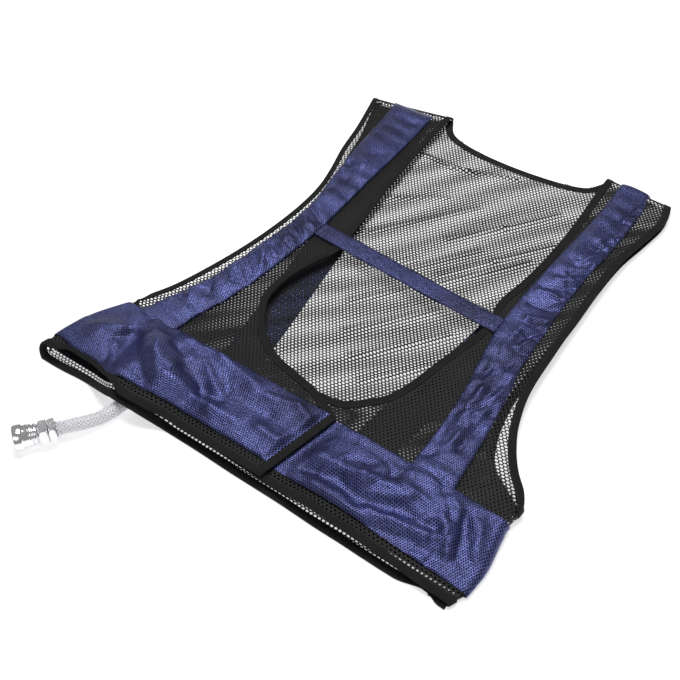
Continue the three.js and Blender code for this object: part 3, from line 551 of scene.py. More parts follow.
def band_of_tape(name, base, material, width=TAPE_WIDTH, thickness=TAPE_THICKNESS, middle=0.6,
                 puff=0.0):
    """A rounded tape. base(places) gives, for each place in from the edge, a row of points
    along the tape, and the direction that the tape faces."""
    ins, heights = rounded_section(width, thickness)
    rings = []
    for place, height in zip(ins, heights):
        points, facing = base(place)
        swell = 1 + puff * np.sin(np.arange(len(points)) * 0.9 + place)[:, None]
        rings.append(points + facing * (middle + height * swell))
    points = np.stack(rings, 1)
    points[..., 2] = np.maximum(points[..., 2], FLOOR_GAP)
    rows, columns = points.shape[:2]
    along = lengths_along(points, 0)[:, :1]
    uv = np.stack(np.broadcast_arrays(along, ins[None, :]), 2)
    return new_object(name, points.reshape(-1, 3), closed_faces(rows, columns), material, uv)


def inside_polygon(x, y, polygon):
    """Which places lie inside a polygon."""
    inside = np.zeros(x.shape, bool)
    for (ax, ay), (bx, by) in zip(polygon, np.roll(polygon, -1, axis=0)):
        crosses = (ay > y) != (by > y)
        if ay != by:
            inside ^= crosses & (x < (bx - ax) * (y - ay) / (by - ay) + ax)
    return inside


def yarn_area(polygon, hole):
    """Square metres of cloth in a net, without its holes."""
    x, y = np.meshgrid(np.arange(np.round(polygon[:, 0].min()), polygon[:, 0].max(), 4.0),
                       np.arange(0, BODY_LENGTH, 4.0))
    inside = inside_polygon(x, y, polygon)
    xs, ys = polygon.T
    area = abs(np.dot(xs, np.roll(ys, -1)) - np.dot(ys, np.roll(xs, -1))) / 2
    return area * 1e-6 * float(np.mean(1 - hole(x[inside], y[inside]) ** 2))


def net(name, node, polygon, place, hole):
    """Cloth with real holes over a polygon; place(x, y) gives the points in space, and
    hole(x, y) the share of each cell that is open."""
    low = polygon.min(0) - 6
    high = polygon.max(0) + 6
    rows = int((high[1] - low[1]) / CELL_RISE)
    columns = int((high[0] - low[0]) / CELL_WIDTH)
    r, c = np.meshgrid(np.arange(rows), np.arange(columns), indexing="ij")
    cx = (low[0] + (c + 0.5 * (r % 2)) * CELL_WIDTH).ravel()
    cy = (low[1] + r * CELL_RISE).ravel()
    keep = inside_polygon(cx, cy, polygon)
    cx, cy = cx[keep], cy[keep]
    half = CELL_WIDTH / 2
    corners = np.array([(0, CELL_TALL), (half, CELL_SHOULDER), (half, -CELL_SHOULDER),
                        (0, -CELL_TALL), (-half, -CELL_SHOULDER), (-half, CELL_SHOULDER)])
    middles = np.stack([cx, cy], 1)[:, None]
    outer = middles + corners
    inner = middles + corners * hole(cx, cy)[:, None, None]
    # Corners of neighbouring cells are one vertex
    key = np.round(outer.reshape(-1, 2) / 0.05).astype(int)
    _, first, shared = np.unique(key, axis=0, return_index=True, return_inverse=True)
    shared = shared.reshape(-1, 6)
    outer_points = outer.reshape(-1, 2)[first]
    plan = np.vstack([outer_points, inner.reshape(-1, 2)])
    points = place(plan[:, 0], plan[:, 1])
    points[len(outer_points):, 2] -= CELL_DISH
    rim = len(outer_points) + np.arange(len(cx) * 6).reshape(-1, 6)
    faces = np.stack([rim, np.roll(rim, -1, axis=1), np.roll(shared, -1, axis=1), shared], 2)
    piece = new_object(name, points, faces.reshape(-1, 4), NET, plan)
    return finish_piece(piece, "mesh", node)


# Materials

class Nodes:
    """One material, and short ways to add nodes to it."""

    def __init__(self, name, colour, roughness, metallic=0.0, **inputs):
        self.material = bpy.data.materials.new(name)
        self.material.use_nodes = True
        self.tree = self.material.node_tree
        self.look(Base_Color=(*colour, 1), Roughness=roughness, Metallic=metallic, **inputs)

    def look(self, **inputs):
        """Sets inputs of the shader and gives the material."""
        self.set(self.tree.nodes["Principled BSDF"], **inputs)
        return self.material

    def put(self, socket, value):
        if isinstance(value, bpy.types.NodeSocket):
            self.tree.links.new(value, socket)
        else:
            socket.default_value = value

    def set(self, node, **inputs):
        for name, value in inputs.items():
            self.put(node.inputs[name.replace("_", " ")], value)
        return node

    def add(self, kind, **inputs):
        return self.set(self.tree.nodes.new(kind), **inputs)

    def math(self, operation, a, b=0.0):
        node = self.add("ShaderNodeMath")
        node.operation = operation
        self.put(node.inputs[0], a)
        self.put(node.inputs[1], b)
        return node.outputs[0]

    def uv(self):
        node = self.add("ShaderNodeUVMap")
        node.uv_map = "UVMap"
        parts = self.add("ShaderNodeSeparateXYZ", Vector=node.outputs[0])
        return parts.outputs[0], parts.outputs[1]

    def wave(self, place, pitch):
        """A sine with a pitch in millimetres."""
        return self.math("SINE", self.math("MULTIPLY", place, 2 * math.pi * UV_STEP / pitch))

    def spread(self, value, low, high, start=0.0, end=1.0, kind="LINEAR"):
        """Low to high as a value goes from start to end."""
        node = self.add("ShaderNodeMapRange", Value=value, From_Min=start, From_Max=end,
                        To_Min=low, To_Max=high)
        node.interpolation_type = kind
        return node.outputs[0]

    def dots(self, u, v, wide, tall, radius, soft):
        """1 inside the dots of a staggered lattice, 0 outside. Sizes in millimetres."""
        rows = self.math("DIVIDE", self.math("MULTIPLY", v, UV_STEP), tall)
        odd = self.math("MULTIPLY", self.math("MODULO", self.math("FLOOR", rows), 2.0), 0.5)
        columns = self.math("DIVIDE", self.math("MULTIPLY", u, UV_STEP), wide)
        squares = []
        for places, size in ((self.math("ADD", columns, odd), wide), (rows, tall)):
            middle = self.math("SUBTRACT", self.math("FRACT", places), 0.5)
            away = self.math("MULTIPLY", middle, size)
            squares.append(self.math("MULTIPLY", away, away))
        away = self.math("SQRT", self.math("ADD", *squares))
        return self.spread(away, 0.0, 1.0, radius + soft, radius - soft, "SMOOTHSTEP")

    def noise(self, scale, detail=3.0):
        place = self.add("ShaderNodeTexCoord").outputs["Object"]
        node = self.add("ShaderNodeTexNoise", Vector=place, Scale=scale, Detail=detail)
        return node.outputs[0]

    def blend(self, factor, *colours):
        node = self.add("ShaderNodeMix")
        node.data_type = "RGBA"
        self.put(node.inputs["Factor"], factor)
        for socket, value in zip([s for s in node.inputs if s.type == "RGBA"], colours):
            self.put(socket, (*value, 1) if isinstance(value, tuple) else value)
        return [s for s in node.outputs if s.type == "RGBA"][0]

    def bump(self, height, strength, distance):
        return self.add("ShaderNodeBump", Height=height, Strength=strength,
                        Distance=distance).outputs[0]


def satin_material(name, dim, bright, wrinkled):
    """Blue cloth with a fine lattice of dark dots, patches of painted shade and a soft blue shine.
    """
    n = Nodes(name, bright, 0.4, 0.8)
    u, v = n.uv()
    dots = n.dots(u, v, DOT_WIDE, DOT_TALL, DOT_RADIUS, DOT_SOFT)
    crossed = n.math("ADD", n.wave(u, THREAD_PITCH), n.wave(v, THREAD_PITCH))
    weave = n.math("MULTIPLY", crossed, 0.5)
    speckled = n.blend(n.spread(n.noise(420.0), 0.0, 1.0, 0.3, 0.66), dim, bright)
    # Painted shade: random patches of the cloth darkened towards a grey navy
    painted_shade_patches = n.spread(n.noise(17.0, 2.0), 0.0, 0.55, 0.48, 0.66)
    colour = n.blend(painted_shade_patches, speckled, (0.035, 0.036, 0.062))
    height = n.math("SUBTRACT", n.math("MULTIPLY", weave, 0.12), dots)
    height = n.math("ADD", height, n.math("MULTIPLY", n.noise(260.0), wrinkled))
    return n.look(
        Base_Color=n.blend(dots, colour, (0.01, 0.011, 0.036)),
        Roughness=n.spread(n.noise(38.0, 4.0), 0.3, 0.4),
        Normal=n.bump(height, 0.6, 0.0005),
    )


def black_material(name, colours, patches, waves, roughness, shine, strength):
    """Black cloth with a little change of shade and its threads as bump."""
    n = Nodes(name, colours[0], roughness, Specular_IOR_Level=shine)
    u, v = n.uv()
    height = n.wave(n.math("ADD", u, v), waves[0])
    if len(waves) > 1:
        height = n.math("ADD", n.wave(u, waves[1]), height)
    return n.look(Base_Color=n.blend(n.noise(*patches), *colours),
                  Normal=n.bump(height, strength, 0.0002))


def thread_material(name, colour):
    n = Nodes(name, colour, 0.6)
    return n.look(Normal=n.bump(n.noise(900.0, 1.0), 0.4, 0.0002))


def hose_material():
    """Clear plastic, seen through."""
    n = Nodes("clear_hose", (0.9, 0.88, 0.93), 0.12, Alpha=0.22, IOR=1.45, Coat_Weight=0.3)
    return n.look(Roughness=n.spread(n.noise(120.0), 0.08, 0.2))


def chrome_material():
    """Bright nickel with fine turning marks."""
    n = Nodes("nickel", (0.84, 0.84, 0.86), 0.2, 0.86)
    return n.look(Roughness=n.spread(n.noise(200.0, 5.0), 0.08, 0.2),
                  Normal=n.bump(n.wave(n.uv()[1], TURNING_PITCH), 0.03, 0.0001))


SATIN = satin_material("duct_cloth", (0.052, 0.057, 0.145), (0.128, 0.147, 0.4), 1.0)
WEBBING = satin_material("strap_webbing", (0.02, 0.022, 0.06), (0.1, 0.115, 0.3), 2.2)
NET = black_material("sports_mesh", ((0.006, 0.006, 0.0065), (0.019, 0.019, 0.02)), (25.0,),
                     (0.6,), 0.55, 0.35, 0.4)
TAPE = black_material("binding_tape", ((0.004, 0.004, 0.0043), (0.012, 0.012, 0.0125)),
                      (60.0, 5.0), (0.7, 0.8), 0.8, 0.3, 0.5)
THREAD = thread_material("black_thread", (0.016, 0.016, 0.017))
BRAID = thread_material("white_braid", (0.93, 0.92, 0.96))
CLEAR = hose_material()
CORE = Nodes("hose_core", (0.96, 0.93, 0.98), 0.4, Alpha=0.7).material
CHROME = chrome_material()


# Paths and tapes

def smooth_path(points, steps):
    """A rounded path through points, with the same number of steps in each stretch."""
    points = np.asarray(points, float)
    padded = np.vstack([2 * points[0] - points[1], points, 2 * points[-1] - points[-2]])
    t = (np.arange(steps) / steps)[:, None]
    found = []
    for i in range(1, len(padded) - 2):
        p0, p1, p2, p3 = padded[i - 1:i + 3]
        found.append(0.5 * (2 * p1 + (p2 - p0) * t + (2 * p0 - 5 * p1 + 4 * p2 - p3) * t * t
                            + (3 * p1 - p0 - 3 * p2 + p3) * t ** 3))
    return np.vstack(found + [points[-1]])


def run_of(points):
    """How far along a path each of its points lies."""
    return np.concatenate([[0], np.cumsum(np.linalg.norm(np.diff(points, axis=0), axis=1))])


def places_on(points, run, places):
    return np.stack([np.interp(places, run, column) for column in np.asarray(points).T], 1)


def even_path(points, step):
    """The same path with points at even distances."""
    run = run_of(points)
    count = max(int(run[-1] / step), 2)
    return places_on(points, run, np.linspace(0, run[-1], count + 1))


def unit(vectors):
    return vectors / np.linalg.norm(vectors, axis=-1, keepdims=True)


def beside(path, inner_is_left, inset, surface):
    """Places on a surface, in from the edge that a path follows in plan."""
    tangent = unit(np.gradient(path, axis=0))
    left = np.stack([-tangent[:, 1], tangent[:, 0]], 1)
    plan = path + (left if inner_is_left else -left) * inset
    return surface(plan[:, 0], plan[:, 1])


def facing_up(points):
    return points, np.zeros_like(points) + UP


def flat_tape(name, nodes, path, inner_is_left, surface, middle=0.6, width=TAPE_WIDTH):
    """Tape along a path in plan, lying on a surface."""
    def base(place):
        return facing_up(beside(path, inner_is_left, place, surface))

    tape = band_of_tape(name, base, TAPE, width=width, middle=middle, puff=0.04)
    return finish_piece(tape, "tape", *nodes)


def side_path(half, low, high, back=False):
    """The edge of an armhole in plan, from one height to another."""
    ups = np.linspace(low, high, 110)
    return even_path(np.stack([SIDE[half] * edge_out(half, ups, back), ups], 1), 4)


# Back panel

def back_top():
    """The top edge, from the right shoulder's outer end to the left one's."""
    ends = []
    for half, row in (("right", NECK[0]), ("left", NECK[-1])):
        middle, wide = duct_at(BACK_DUCT, half, row["up"])
        ends.append(SIDE[half] * float(middle - wide))
    corners = [(SIDE[half] * float(edge_out(half, up * BODY_LENGTH, True)), up * BODY_LENGTH)
               for half, up in BACK_TOP.items()]
    neck = [(mix(*ends, row["across"]), row["up"] * BODY_LENGTH) for row in NECK]
    return np.array([corners[0], *neck, corners[1]])


def back_polygon(grow):
    """Plan of the back panel, up to grow outside its edge."""
    sides = []
    for half, high in (("right", 625), ("left", 645)):
        ups = np.linspace(5, high, 60)
        sides.append(np.stack([SIDE[half] * (edge_out(half, ups, True) + grow), ups], 1))
    return np.vstack([sides[0], back_top() + [0, grow - 1], sides[1][::-1]])


def neck_path():
    """The neck edge of the back, from the right tip to the left tip."""
    return even_path(smooth_path(back_top()[2:8], 10), 4)


def on_back(x, y):
    return lay(x, y, back_height(x, y) + back_relief(x, y))


def on_back_flat(x, y):
    """The back's surface without its folds, for the tapes round it."""
    return lay(x, y, back_height(x, y))


def window_polygon():
    """The part of the back that the open fronts leave in view."""
    sides = [[(SIDE[half] * row["out"] * HALF_WIDTH, row["up"] * BODY_LENGTH)
              for row in FRONT_EDGE[half]] for half in SIDE]
    top = [(SIDE[half] * CORNERS[half]["tip_out"] * HALF_WIDTH, BODY_LENGTH + 20) for half in SIDE]
    return np.array(sides[0] + top + sides[1][::-1])


def back_holes(x, y):
    """The pulled cloth opens and closes its cells in slanting bands and along its folds."""
    slant = (0.79 * x - 0.62 * y) / 44 + 0.3 * np.sin(y / 75 + x / 130)
    bands = np.sin(2 * math.pi * slant) * smooth((y - 40) / 60)
    folds = np.clip(fold_height(MESH_FOLDS, x + 3, y - 2) / 3, 0, 1)
    at_side = smooth((np.abs(x) - 165) / 40)
    share = np.clip(BACK_HOLE * (1 + 0.1 * bands + 0.1 * at_side - 0.32 * folds), 0.3, 0.76)
    covered = ~inside_polygon(x, y, window_polygon()) & (y > BAND_ABOVE)
    return np.where(covered, share * COVERED_SHARE, share)


def front_holes(half):
    """Tight cells, but wide ones where the front reaches out past the back's armhole edge."""
    def share(x, y):
        past = SIDE[half] * x - edge_out(half, y, True) + TAPE_WIDTH
        open_part = smooth(past / 6) * smooth((y / BODY_LENGTH - SIDE_UP[half]) / 0.02)
        return mix(FRONT_HOLE * (1 + 0.1 * ripple(x, y, 70, 3)), OPEN_HOLE, open_part)
    return share


def back_strip(name, node, left, right, ups, columns):
    """Blue cloth under the back panel, between two edges given at each height."""
    y = np.repeat(ups[:, None], columns, 1)
    t = np.linspace(0, 1, columns)[None, :]
    x = mix(left[:, None], right[:, None], t)
    swell = 0.85 * (0.5 + 0.5 * ripple(x, y, 34, 7)) * np.sin(math.pi * t)
    return cloth(name, node, lay(x, y, hump(x, y) + BACK_CLOTH_LIFT + swell), SATIN)


back_plan = back_polygon(-3.0)
net_back = net("mesh_back", "back_panel", back_plan, on_back, back_holes)
on_the_back = [flat_tape("neck_tape", ["neck_tape_back"], neck_path(), False, on_back_flat,
                         BACK_TAPE_MIDDLE)]
for half in SIDE:
    path = side_path(half, SIDE_UP[half] * BODY_LENGTH - 4, BACK_TOP[half] * BODY_LENGTH, True)
    on_the_back.append(flat_tape(f"back_armhole_tape_{half}", [f"armhole_tape_back_{half}"], path,
                                 half == "left", on_back_flat, BACK_TAPE_MIDDLE))

for half, top in (("right", 0.985), ("left", 0.999)):
    ups = np.linspace(SEAM_UP - 2, top * BODY_LENGTH - 6, 130)
    middle, wide = duct_at(BACK_DUCT, half, ups / BODY_LENGTH)
    middle = SIDE[half] * middle
    back_strip(f"back_duct_cloth_{half}", f"back_duct_{half}", middle - wide,
                                  middle + wide, ups, 16)

ups = np.linspace(BAND_ABOVE, SEAM_UP, 26)
band_ends = [SIDE[half] * (edge_out(half, ups, True) - 8) for half in SIDE]
back_band = back_strip("waist_duct_cloth_back", "waist_duct_back", *band_ends, ups, 170)


# Front panels

def front_edge_path(half):
    """The flap's end, the round opening and the neck edge, from the hem to the shoulder."""
    ends = CORNERS[half]
    hem = ends["hem_in"] * BODY_LENGTH
    edge = [(row["out"], row["up"] * BODY_LENGTH) for row in FRONT_EDGE[half]]
    edge.append((ends["tip_out"], ends["tip_up"] * BODY_LENGTH - 1))
    low, top, *rest = np.array([(ends["end_hem"], hem), (ends["end_top"], SEAM_UP + hem), *edge])
    across = np.array([SIDE[half] * HALF_WIDTH, 1])
    flap = smooth_path(np.array([low, (low + top) / 2, top]) * across, 6)
    upper = smooth_path(np.array([top, *rest]) * across, 8)
    return even_path(np.vstack([flap[:-1], upper]), 3.5)


def strip_folded(half, x):
    """1 where the strip between the waist duct and the hem is folded away, 0 elsewhere."""
    if half == "left":
        return np.zeros(np.shape(x))
    return smooth((-TUCK_END - x) / 30) * smooth((x + TUCK_START) / 22)


def on_front(half, lift=0.0, relief=0.0):
    def place(x, y):
        waves = relief * ripple(x, y, 90, 5 + SIDE[half])
        return lay(x, y, front_height(half, x, y) + lift + waves)
    return place


def front_polygon(half):
    """Plan of a front, with what goes round the side's fold."""
    ends = CORNERS[half]
    side_y = SIDE_UP[half] * BODY_LENGTH
    wrap = math.pi * FOLD_RADIUS - FOLD_RADIUS
    outer = []
    for low, high, count, grow in (
        (ends["hem_out"] * BODY_LENGTH + 4, side_y - 2, 20, wrap),
        (side_y, ends["shoulder_up"] * BODY_LENGTH, 60, -3),
    ):
        ups = np.linspace(low, high, count)
        outer.append(np.stack([SIDE[half] * (edge_out(half, ups) + grow), ups], 1))
    path = front_edge_path(half)
    inner = beside(path, half == "right", 3, lambda x, y: np.stack([x, y], 1))
    hem = np.linspace(inner[0, 0], outer[0][0, 0], 40)[1:-1]
    low_edge = np.stack([hem, hem_at(half, hem) + 4 + HEM_TUCK * strip_folded(half, hem)], 1)
    polygon = np.vstack([*outer, inner[::-1], low_edge])
    polygon[:, 1] = np.minimum(polygon[:, 1], shoulder_line(half, polygon[:, 0]) - 2.5)
    return polygon


def round_fold(half, x, top, low, angle, radius=FOLD_RADIUS):
    """Places round a side's fold, from its top at angle 0 to its low side at half a turn."""
    turned_x = x + SIDE[half] * radius * np.sin(angle)
    return turned_x, (top + low) / 2 + (top - low) / 2 * np.cos(angle)


def round_the_side(half):
    """Places of the front mesh; what lies past the side's fold goes round it to the back."""
    def place(x, y):
        inner = edge_out(half, y) - FOLD_RADIUS
        past = SIDE[half] * x - inner
        low_enough = (y < SIDE_UP[half] * BODY_LENGTH - 1) | (past > FOLD_RADIUS)
        fold_x = SIDE[half] * inner
        top = front_height(half, fold_x, y, at_side=False) + NET_LIFT
        angle = np.clip(past / FOLD_RADIUS, 0, math.pi)
        turned_x, turned_z = round_fold(half, fold_x, top, back_height(fold_x, y), angle)
        turned = lay(turned_x, y, turned_z)
        flat = on_front(half, NET_LIFT, 0.5)(x, y)
        return np.where((low_enough & (past > 0))[..., None], turned, flat)

    return place


def waist_base(half, overs, inset, column_step=3.0):
    """Points of the mesh surface at distances over the hem, from the flap's end round the side
    to under the back, and how many columns lie in front."""
    sign = SIDE[half]
    ends = CORNERS[half]
    overs = np.asarray(overs, float)[:, None]
    start = mix(ends["end_hem"], ends["end_top"], overs / SEAM_UP) * HALF_WIDTH + inset
    count = int((HALF_WIDTH + float(np.abs(start).max())) / column_step)
    outer_y = overs + ends["hem_out"] * BODY_LENGTH
    inner = edge_out(half, outer_y) - FOLD_RADIUS
    x = sign * mix(start, inner, np.linspace(0, 1, count)[None, :])
    drawn = np.where(overs < BAND_ABOVE - 1, HEM_TUCK * (1 - overs / SEAM_UP),
                     -BAND_DROP * (SEAM_UP - overs) / BAND_HEIGHT)
    y = overs + hem_at(half, x) + drawn * strip_folded(half, x)
    top = front_height(half, x, y, at_side=False)
    angle = np.linspace(0, math.pi, WRAP_STEPS)[None, 1:]
    fold_x, fold_z = round_fold(half, sign * inner, top[:, -1:], back_height(sign * inner, overs),
                                angle)
    fold_y = mix(overs, outer_y, (1 + np.cos(angle)) / 2)
    under_x = fold_x[:, -1:] - sign * np.linspace(3, UNDER, 5)[None, :]
    under_y = fold_y[:, -1:] + 0 * under_x
    under = on_back_flat(under_x, under_y)
    return np.concatenate([lay(x, y, top), lay(fold_x, fold_y, fold_z), under], 1), count


front_pieces = {}
for half in SIDE:
    sign = SIDE[half]
    ends = CORNERS[half]
    side_y = SIDE_UP[half] * BODY_LENGTH
    shoulder_y = ends["shoulder_up"] * BODY_LENGTH
    polygon = front_polygon(half)
    panel = net(f"mesh_front_{half}", f"front_panel_{half}", polygon, round_the_side(half),
                front_holes(half))
    edge_tape = flat_tape(f"front_edge_binding_{half}", [f"front_edge_tape_{half}"],
                          front_edge_path(half), half == "right", on_front(half))
    arm_tape = flat_tape(f"front_armhole_binding_{half}", [f"armhole_tape_front_{half}"],
                         side_path(half, side_y + 2, shoulder_y), half == "left", on_front(half),
                         width=ARM_TAPE_WIDTH[half])

    # The seam that joins front and back along the shoulder
    outer = float(edge_out(half, shoulder_y))
    xs = sign * np.linspace(outer, ends["tip_out"] * HALF_WIDTH, 40)
    path = np.stack([xs, shoulder_line(half, xs)], 1)
    shoulder = flat_tape(f"shoulder_seam_{half}", [], path, half == "left", on_front(half),
                         middle=-0.5, width=SEAM_WIDTH)

    def hem_base(place, half=half):
        """The front hem and round its corner."""
        points, _ = waist_base(half, [place - 0.5, place, place + 0.5], 1.0)
        return points[1], normals_of(points, SIDE[half])[1]

    hem_tape = band_of_tape(f"front_hem_binding_{half}", hem_base, TAPE, puff=0.05)
    finish_piece(hem_tape, "tape", f"hem_tape_{half}")

    def armpit_base(place, half=half, sign=sign, side_y=side_y):
        """The armhole's tape goes round the side's fold from the front to the back."""
        x = sign * (float(edge_out(half, side_y)) - ARMPIT_RADIUS)
        top = float(front_height(half, x, side_y, at_side=False)) + NET_LIFT
        low = float(back_height(x, side_y)) + NET_LIFT
        angle = np.linspace(0, math.pi, 18)
        radius = ARMPIT_RADIUS * (1 - 0.02 * place)
        turned_x, turned_z = round_fold(half, x, top, low, angle, radius)
        level = np.zeros_like(angle)
        facing = np.stack([sign * np.sin(angle), level, np.cos(angle)], 1)
        return np.stack([turned_x, level + side_y - place, turned_z], 1), facing

    armpit = finish_piece(band_of_tape(f"armpit_binding_{half}", armpit_base, TAPE), "tape")
    front_pieces[half] = (panel, polygon, [edge_tape, arm_tape, hem_tape, armpit, shoulder])

xs = np.linspace(-float(edge_out("right", 2, True)), float(edge_out("left", 2, True)), 190)
hem_line = np.stack([xs, curve(HEM_LINE, "across", "up")(xs)], 1)
on_the_back.append(flat_tape("back_hem_binding", ["hem_tape_back"], hem_line, True, on_back_flat,
                             BACK_TAPE_MIDDLE))


# Ducts on the fronts

def tube_section(count):
    """Shares across a duct and its height there, steep at the sewn edges."""
    angles = np.linspace(0, math.pi, count)
    return (1 - np.cos(angles)) / 2, np.sin(angles) ** 0.75


for half in SIDE:
    sign = SIDE[half]
    top_y = CORNERS[half]["shoulder_up"] * BODY_LENGTH
    ups = np.linspace(SEAM_UP - 5, top_y + 4, 300)[:, None]
    across, high = tube_section(34)
    middle, wide = duct_at(FRONT_DUCT, half, ups / BODY_LENGTH)
    x = sign * (middle + wide * (1 - 2 * across))
    y = np.minimum(ups, shoulder_line(half, x) - 0.6)
    base = np.stack([x, y, front_height(half, x, y)], -1)
    gather = 1 + 0.16 * np.sin(ups / 5.1 + 1.3 * np.sin(ups / 23))
    pucker = 0.5 * np.sin(ups / 2.6 + 2 * np.sin(ups / 17)) * (1 - high)
    end = smooth((top_y + 5 - ups) / 10)
    tucked = 1.2 * (1 - smooth((ups - SEAM_UP + 3) / 7))
    folded = fold_height(FOLDS, x, y) + 0.4 * ripple(x, y, 34, 4)
    body = DUCT_HIGH * high * gather + folded * high ** 0.7
    rise = CLOTH_LIFT + np.maximum(body * end + pucker - tucked, -0.4)
    points = base + normals_of(base, -sign) * rise[..., None]
    cloth(f"front_duct_cloth_{half}", f"front_duct_{half}", points, SATIN,
                              -sign, base)

# Waist ducts round both sides
for half in SIDE:
    sign = SIDE[half]
    across, high = (shares[:, None] for shares in tube_section(40))
    overs = BAND_ABOVE + across * BAND_HEIGHT
    base, front_count = waist_base(half, overs[:, 0], TAPE_WIDTH + 0.4, BAND_STEP)
    x = base[..., 0]
    y = overs + 0 * x
    place = np.arange(base.shape[1])[None, :]
    past = np.clip((place - front_count) / WRAP_STEPS, 0, 1)
    calm = smooth((front_count - place) * BAND_STEP / 36)
    swell = mix(SIDE_SWELL[half], 1, calm) * (1 - 0.55 * smooth(past * 1.6))
    flat = 1 - smooth((past - 0.75) / 0.2)
    if half == "left":
        near_end = smooth((x - 36 - 0.23 * y) / 26)
    else:
        near_end = smooth(np.abs(x - base[:, :1, 0]) / 9)
    # The upper edge is not sewn down where the front's own duct comes out of the band
    middle, wide = duct_at(FRONT_DUCT, half, SEAM_UP / BODY_LENGTH)
    open_top = np.sqrt(np.clip(1 - ((sign * x - middle) / wide) ** 2, 0, 1)) * (across > 0.5)
    high = np.maximum(high, open_top * OPEN_TOP[half])
    gather = 1 + 0.1 * np.sin(place / 3.1 + 1.7 * np.sin(place / 13))
    pucker = 0.35 * np.sin(place / 1.3 + 2 * np.sin(place / 9)) * (1 - high)
    folded = FOLD_SHARE * fold_height(FOLDS, x, y) + 0.6 * ripple(x, y, 30, 6)
    body = BAND_HIGH * high * gather * swell + mix(SIDE_FOLDS, 1, calm) * folded * high ** 0.7
    rise = CLOTH_LIFT + np.maximum(body * near_end * flat + pucker * flat, -0.1)
    rise = mix(UNDER_LIFT, rise, flat)
    points = base + normals_of(base, sign) * rise[..., None]
    points[..., 2] = np.maximum(points[..., 2], 0.15)
    cloth(f"waist_duct_cloth_{half}", f"waist_duct_{half}", points, SATIN,
                              sign, base)

# Chest strap
strap_ends = []
for half, up in STRAP_UP.items():
    middle, wide = duct_at(FRONT_DUCT, half, up)
    strap_ends.append(np.array([SIDE[half] * float(middle - wide + 1.5), up * BODY_LENGTH]))
strap_length = np.linalg.norm(strap_ends[1] - strap_ends[0])
strap_way = unit(strap_ends[1] - strap_ends[0])


def strap_base(place):
    steps = np.linspace(0, strap_length, 110)
    across = np.array([-strap_way[1], strap_way[0]])
    plan = strap_ends[0] + strap_way * steps[:, None] + across * (STRAP_WIDTH / 2 - place)
    sag = STRAP_TOP - 1.1 * np.sin(math.pi * steps / strap_length)
    sag = sag + 0.35 * np.sin(steps / 15) * (place / STRAP_WIDTH - 0.5)
    return facing_up(np.column_stack([plan, sag]))


strap = band_of_tape("strap_cloth", strap_base, WEBBING, width=STRAP_WIDTH, thickness=2.2,
                     middle=0.2, puff=0.08)
finish_piece(strap, "duct", "chest_strap")


# Hose, braid and cuff

def rings_round(line, radius, angles):
    """Rings of points about a line, each square to it."""
    tangent = unit(np.gradient(line, axis=0))
    level = unit(np.cross(tangent, UP))
    across = level[:, None] * np.cos(angles)[..., None]
    return line[:, None] + radius * (across + np.cross(level, tangent)[:, None]
                                     * np.sin(angles)[..., None])


def tube(name, radius, material, sides, *nodes):
    angles = np.arange(sides) * 2 * math.pi / sides
    rings = rings_round(hose_line, radius, angles)
    faces = [face[::-1] for face in closed_faces(len(hose_line), sides)]
    uv = np.stack(np.broadcast_arrays(angles * radius, lengths_along(rings, 0)), 2)
    return finish_piece(new_object(name, rings.reshape(-1, 3), faces, material, uv), "hose", *nodes)


last = len(HOSE_ROUTE) - 1
route = []
for i, (x, y) in enumerate(HOSE_ROUTE):
    low = CUFF_RADIUS if i <= CUFF_END else HOSE_DIAMETER / 2
    risen = float(smooth((i - HOSE_RISES + 1) / (last - HOSE_RISES)))
    route.append((x, y, mix(low, COUPLING_HEIGHT, risen)))
route = np.array(route, float)
hose_line = smooth_path(route, 6)
hose = tube("hose_tube", HOSE_DIAMETER / 2, CLEAR, 28, "hose")

fine = even_path(hose_line, BRAID_STEP)
turned_by = np.arange(len(fine)) * BRAID_STEP / BRAID_TURN
braid_rings = []
for turn in (-1, 1):
    for k in range(BRAID_YARNS):
        angle = turn * turned_by + k * 2 * math.pi / BRAID_YARNS
        centre = rings_round(fine, BRAID_RADIUS + BRAID_GAP * turn, angle[:, None])[:, 0]
        out = unit(centre - fine)
        wide = np.cross(unit(np.gradient(centre, axis=0)), out) * YARN_WIDE
        thick = out * YARN_THICK
        ring = [centre + wide, centre + thick, centre - wide, centre - thick]
        braid_rings.append(np.stack(ring, 1).reshape(-1, 3))
yarn_faces = grid_faces(len(fine), 4, around=True)
braid_faces = [yarn_faces + k * len(fine) * 4 for k in range(len(braid_rings))]
braid = new_object("hose_braid", np.vstack(braid_rings), np.vstack(braid_faces), BRAID)
finish_piece(braid, "hose")
core = tube("hose_inner", HOSE_CORE, CORE, 20)

cuff_line = smooth_path(route[:CUFF_END + 1], 6)
cuff_last = len(cuff_line) - 1
angles = np.arange(28) * 2 * math.pi / 28
profile = [(0, CUFF_HOLE), (0, CUFF_RADIUS - 0.5), (1, CUFF_RADIUS), (cuff_last - 1, CUFF_RADIUS),
           (cuff_last, CUFF_RADIUS - 0.4), (cuff_last, CUFF_HOLE)]
rings = np.stack([rings_round(cuff_line, radius, angles)[i] for i, radius in profile])
cuff_uv = np.stack(np.broadcast_arrays(angles * CUFF_RADIUS, lengths_along(rings, 0)), 2)
cuff = new_object("cuff_cloth", rings.reshape(-1, 3), grid_faces(len(profile), 28, around=True),
                  SATIN, cuff_uv)
finish_piece(cuff, "duct", "hose_cuff")

# Coupling: turned and hexagonal pieces along the hose's end
direction = unit((route[-1] - route[-2]) * [1, 1, 0])


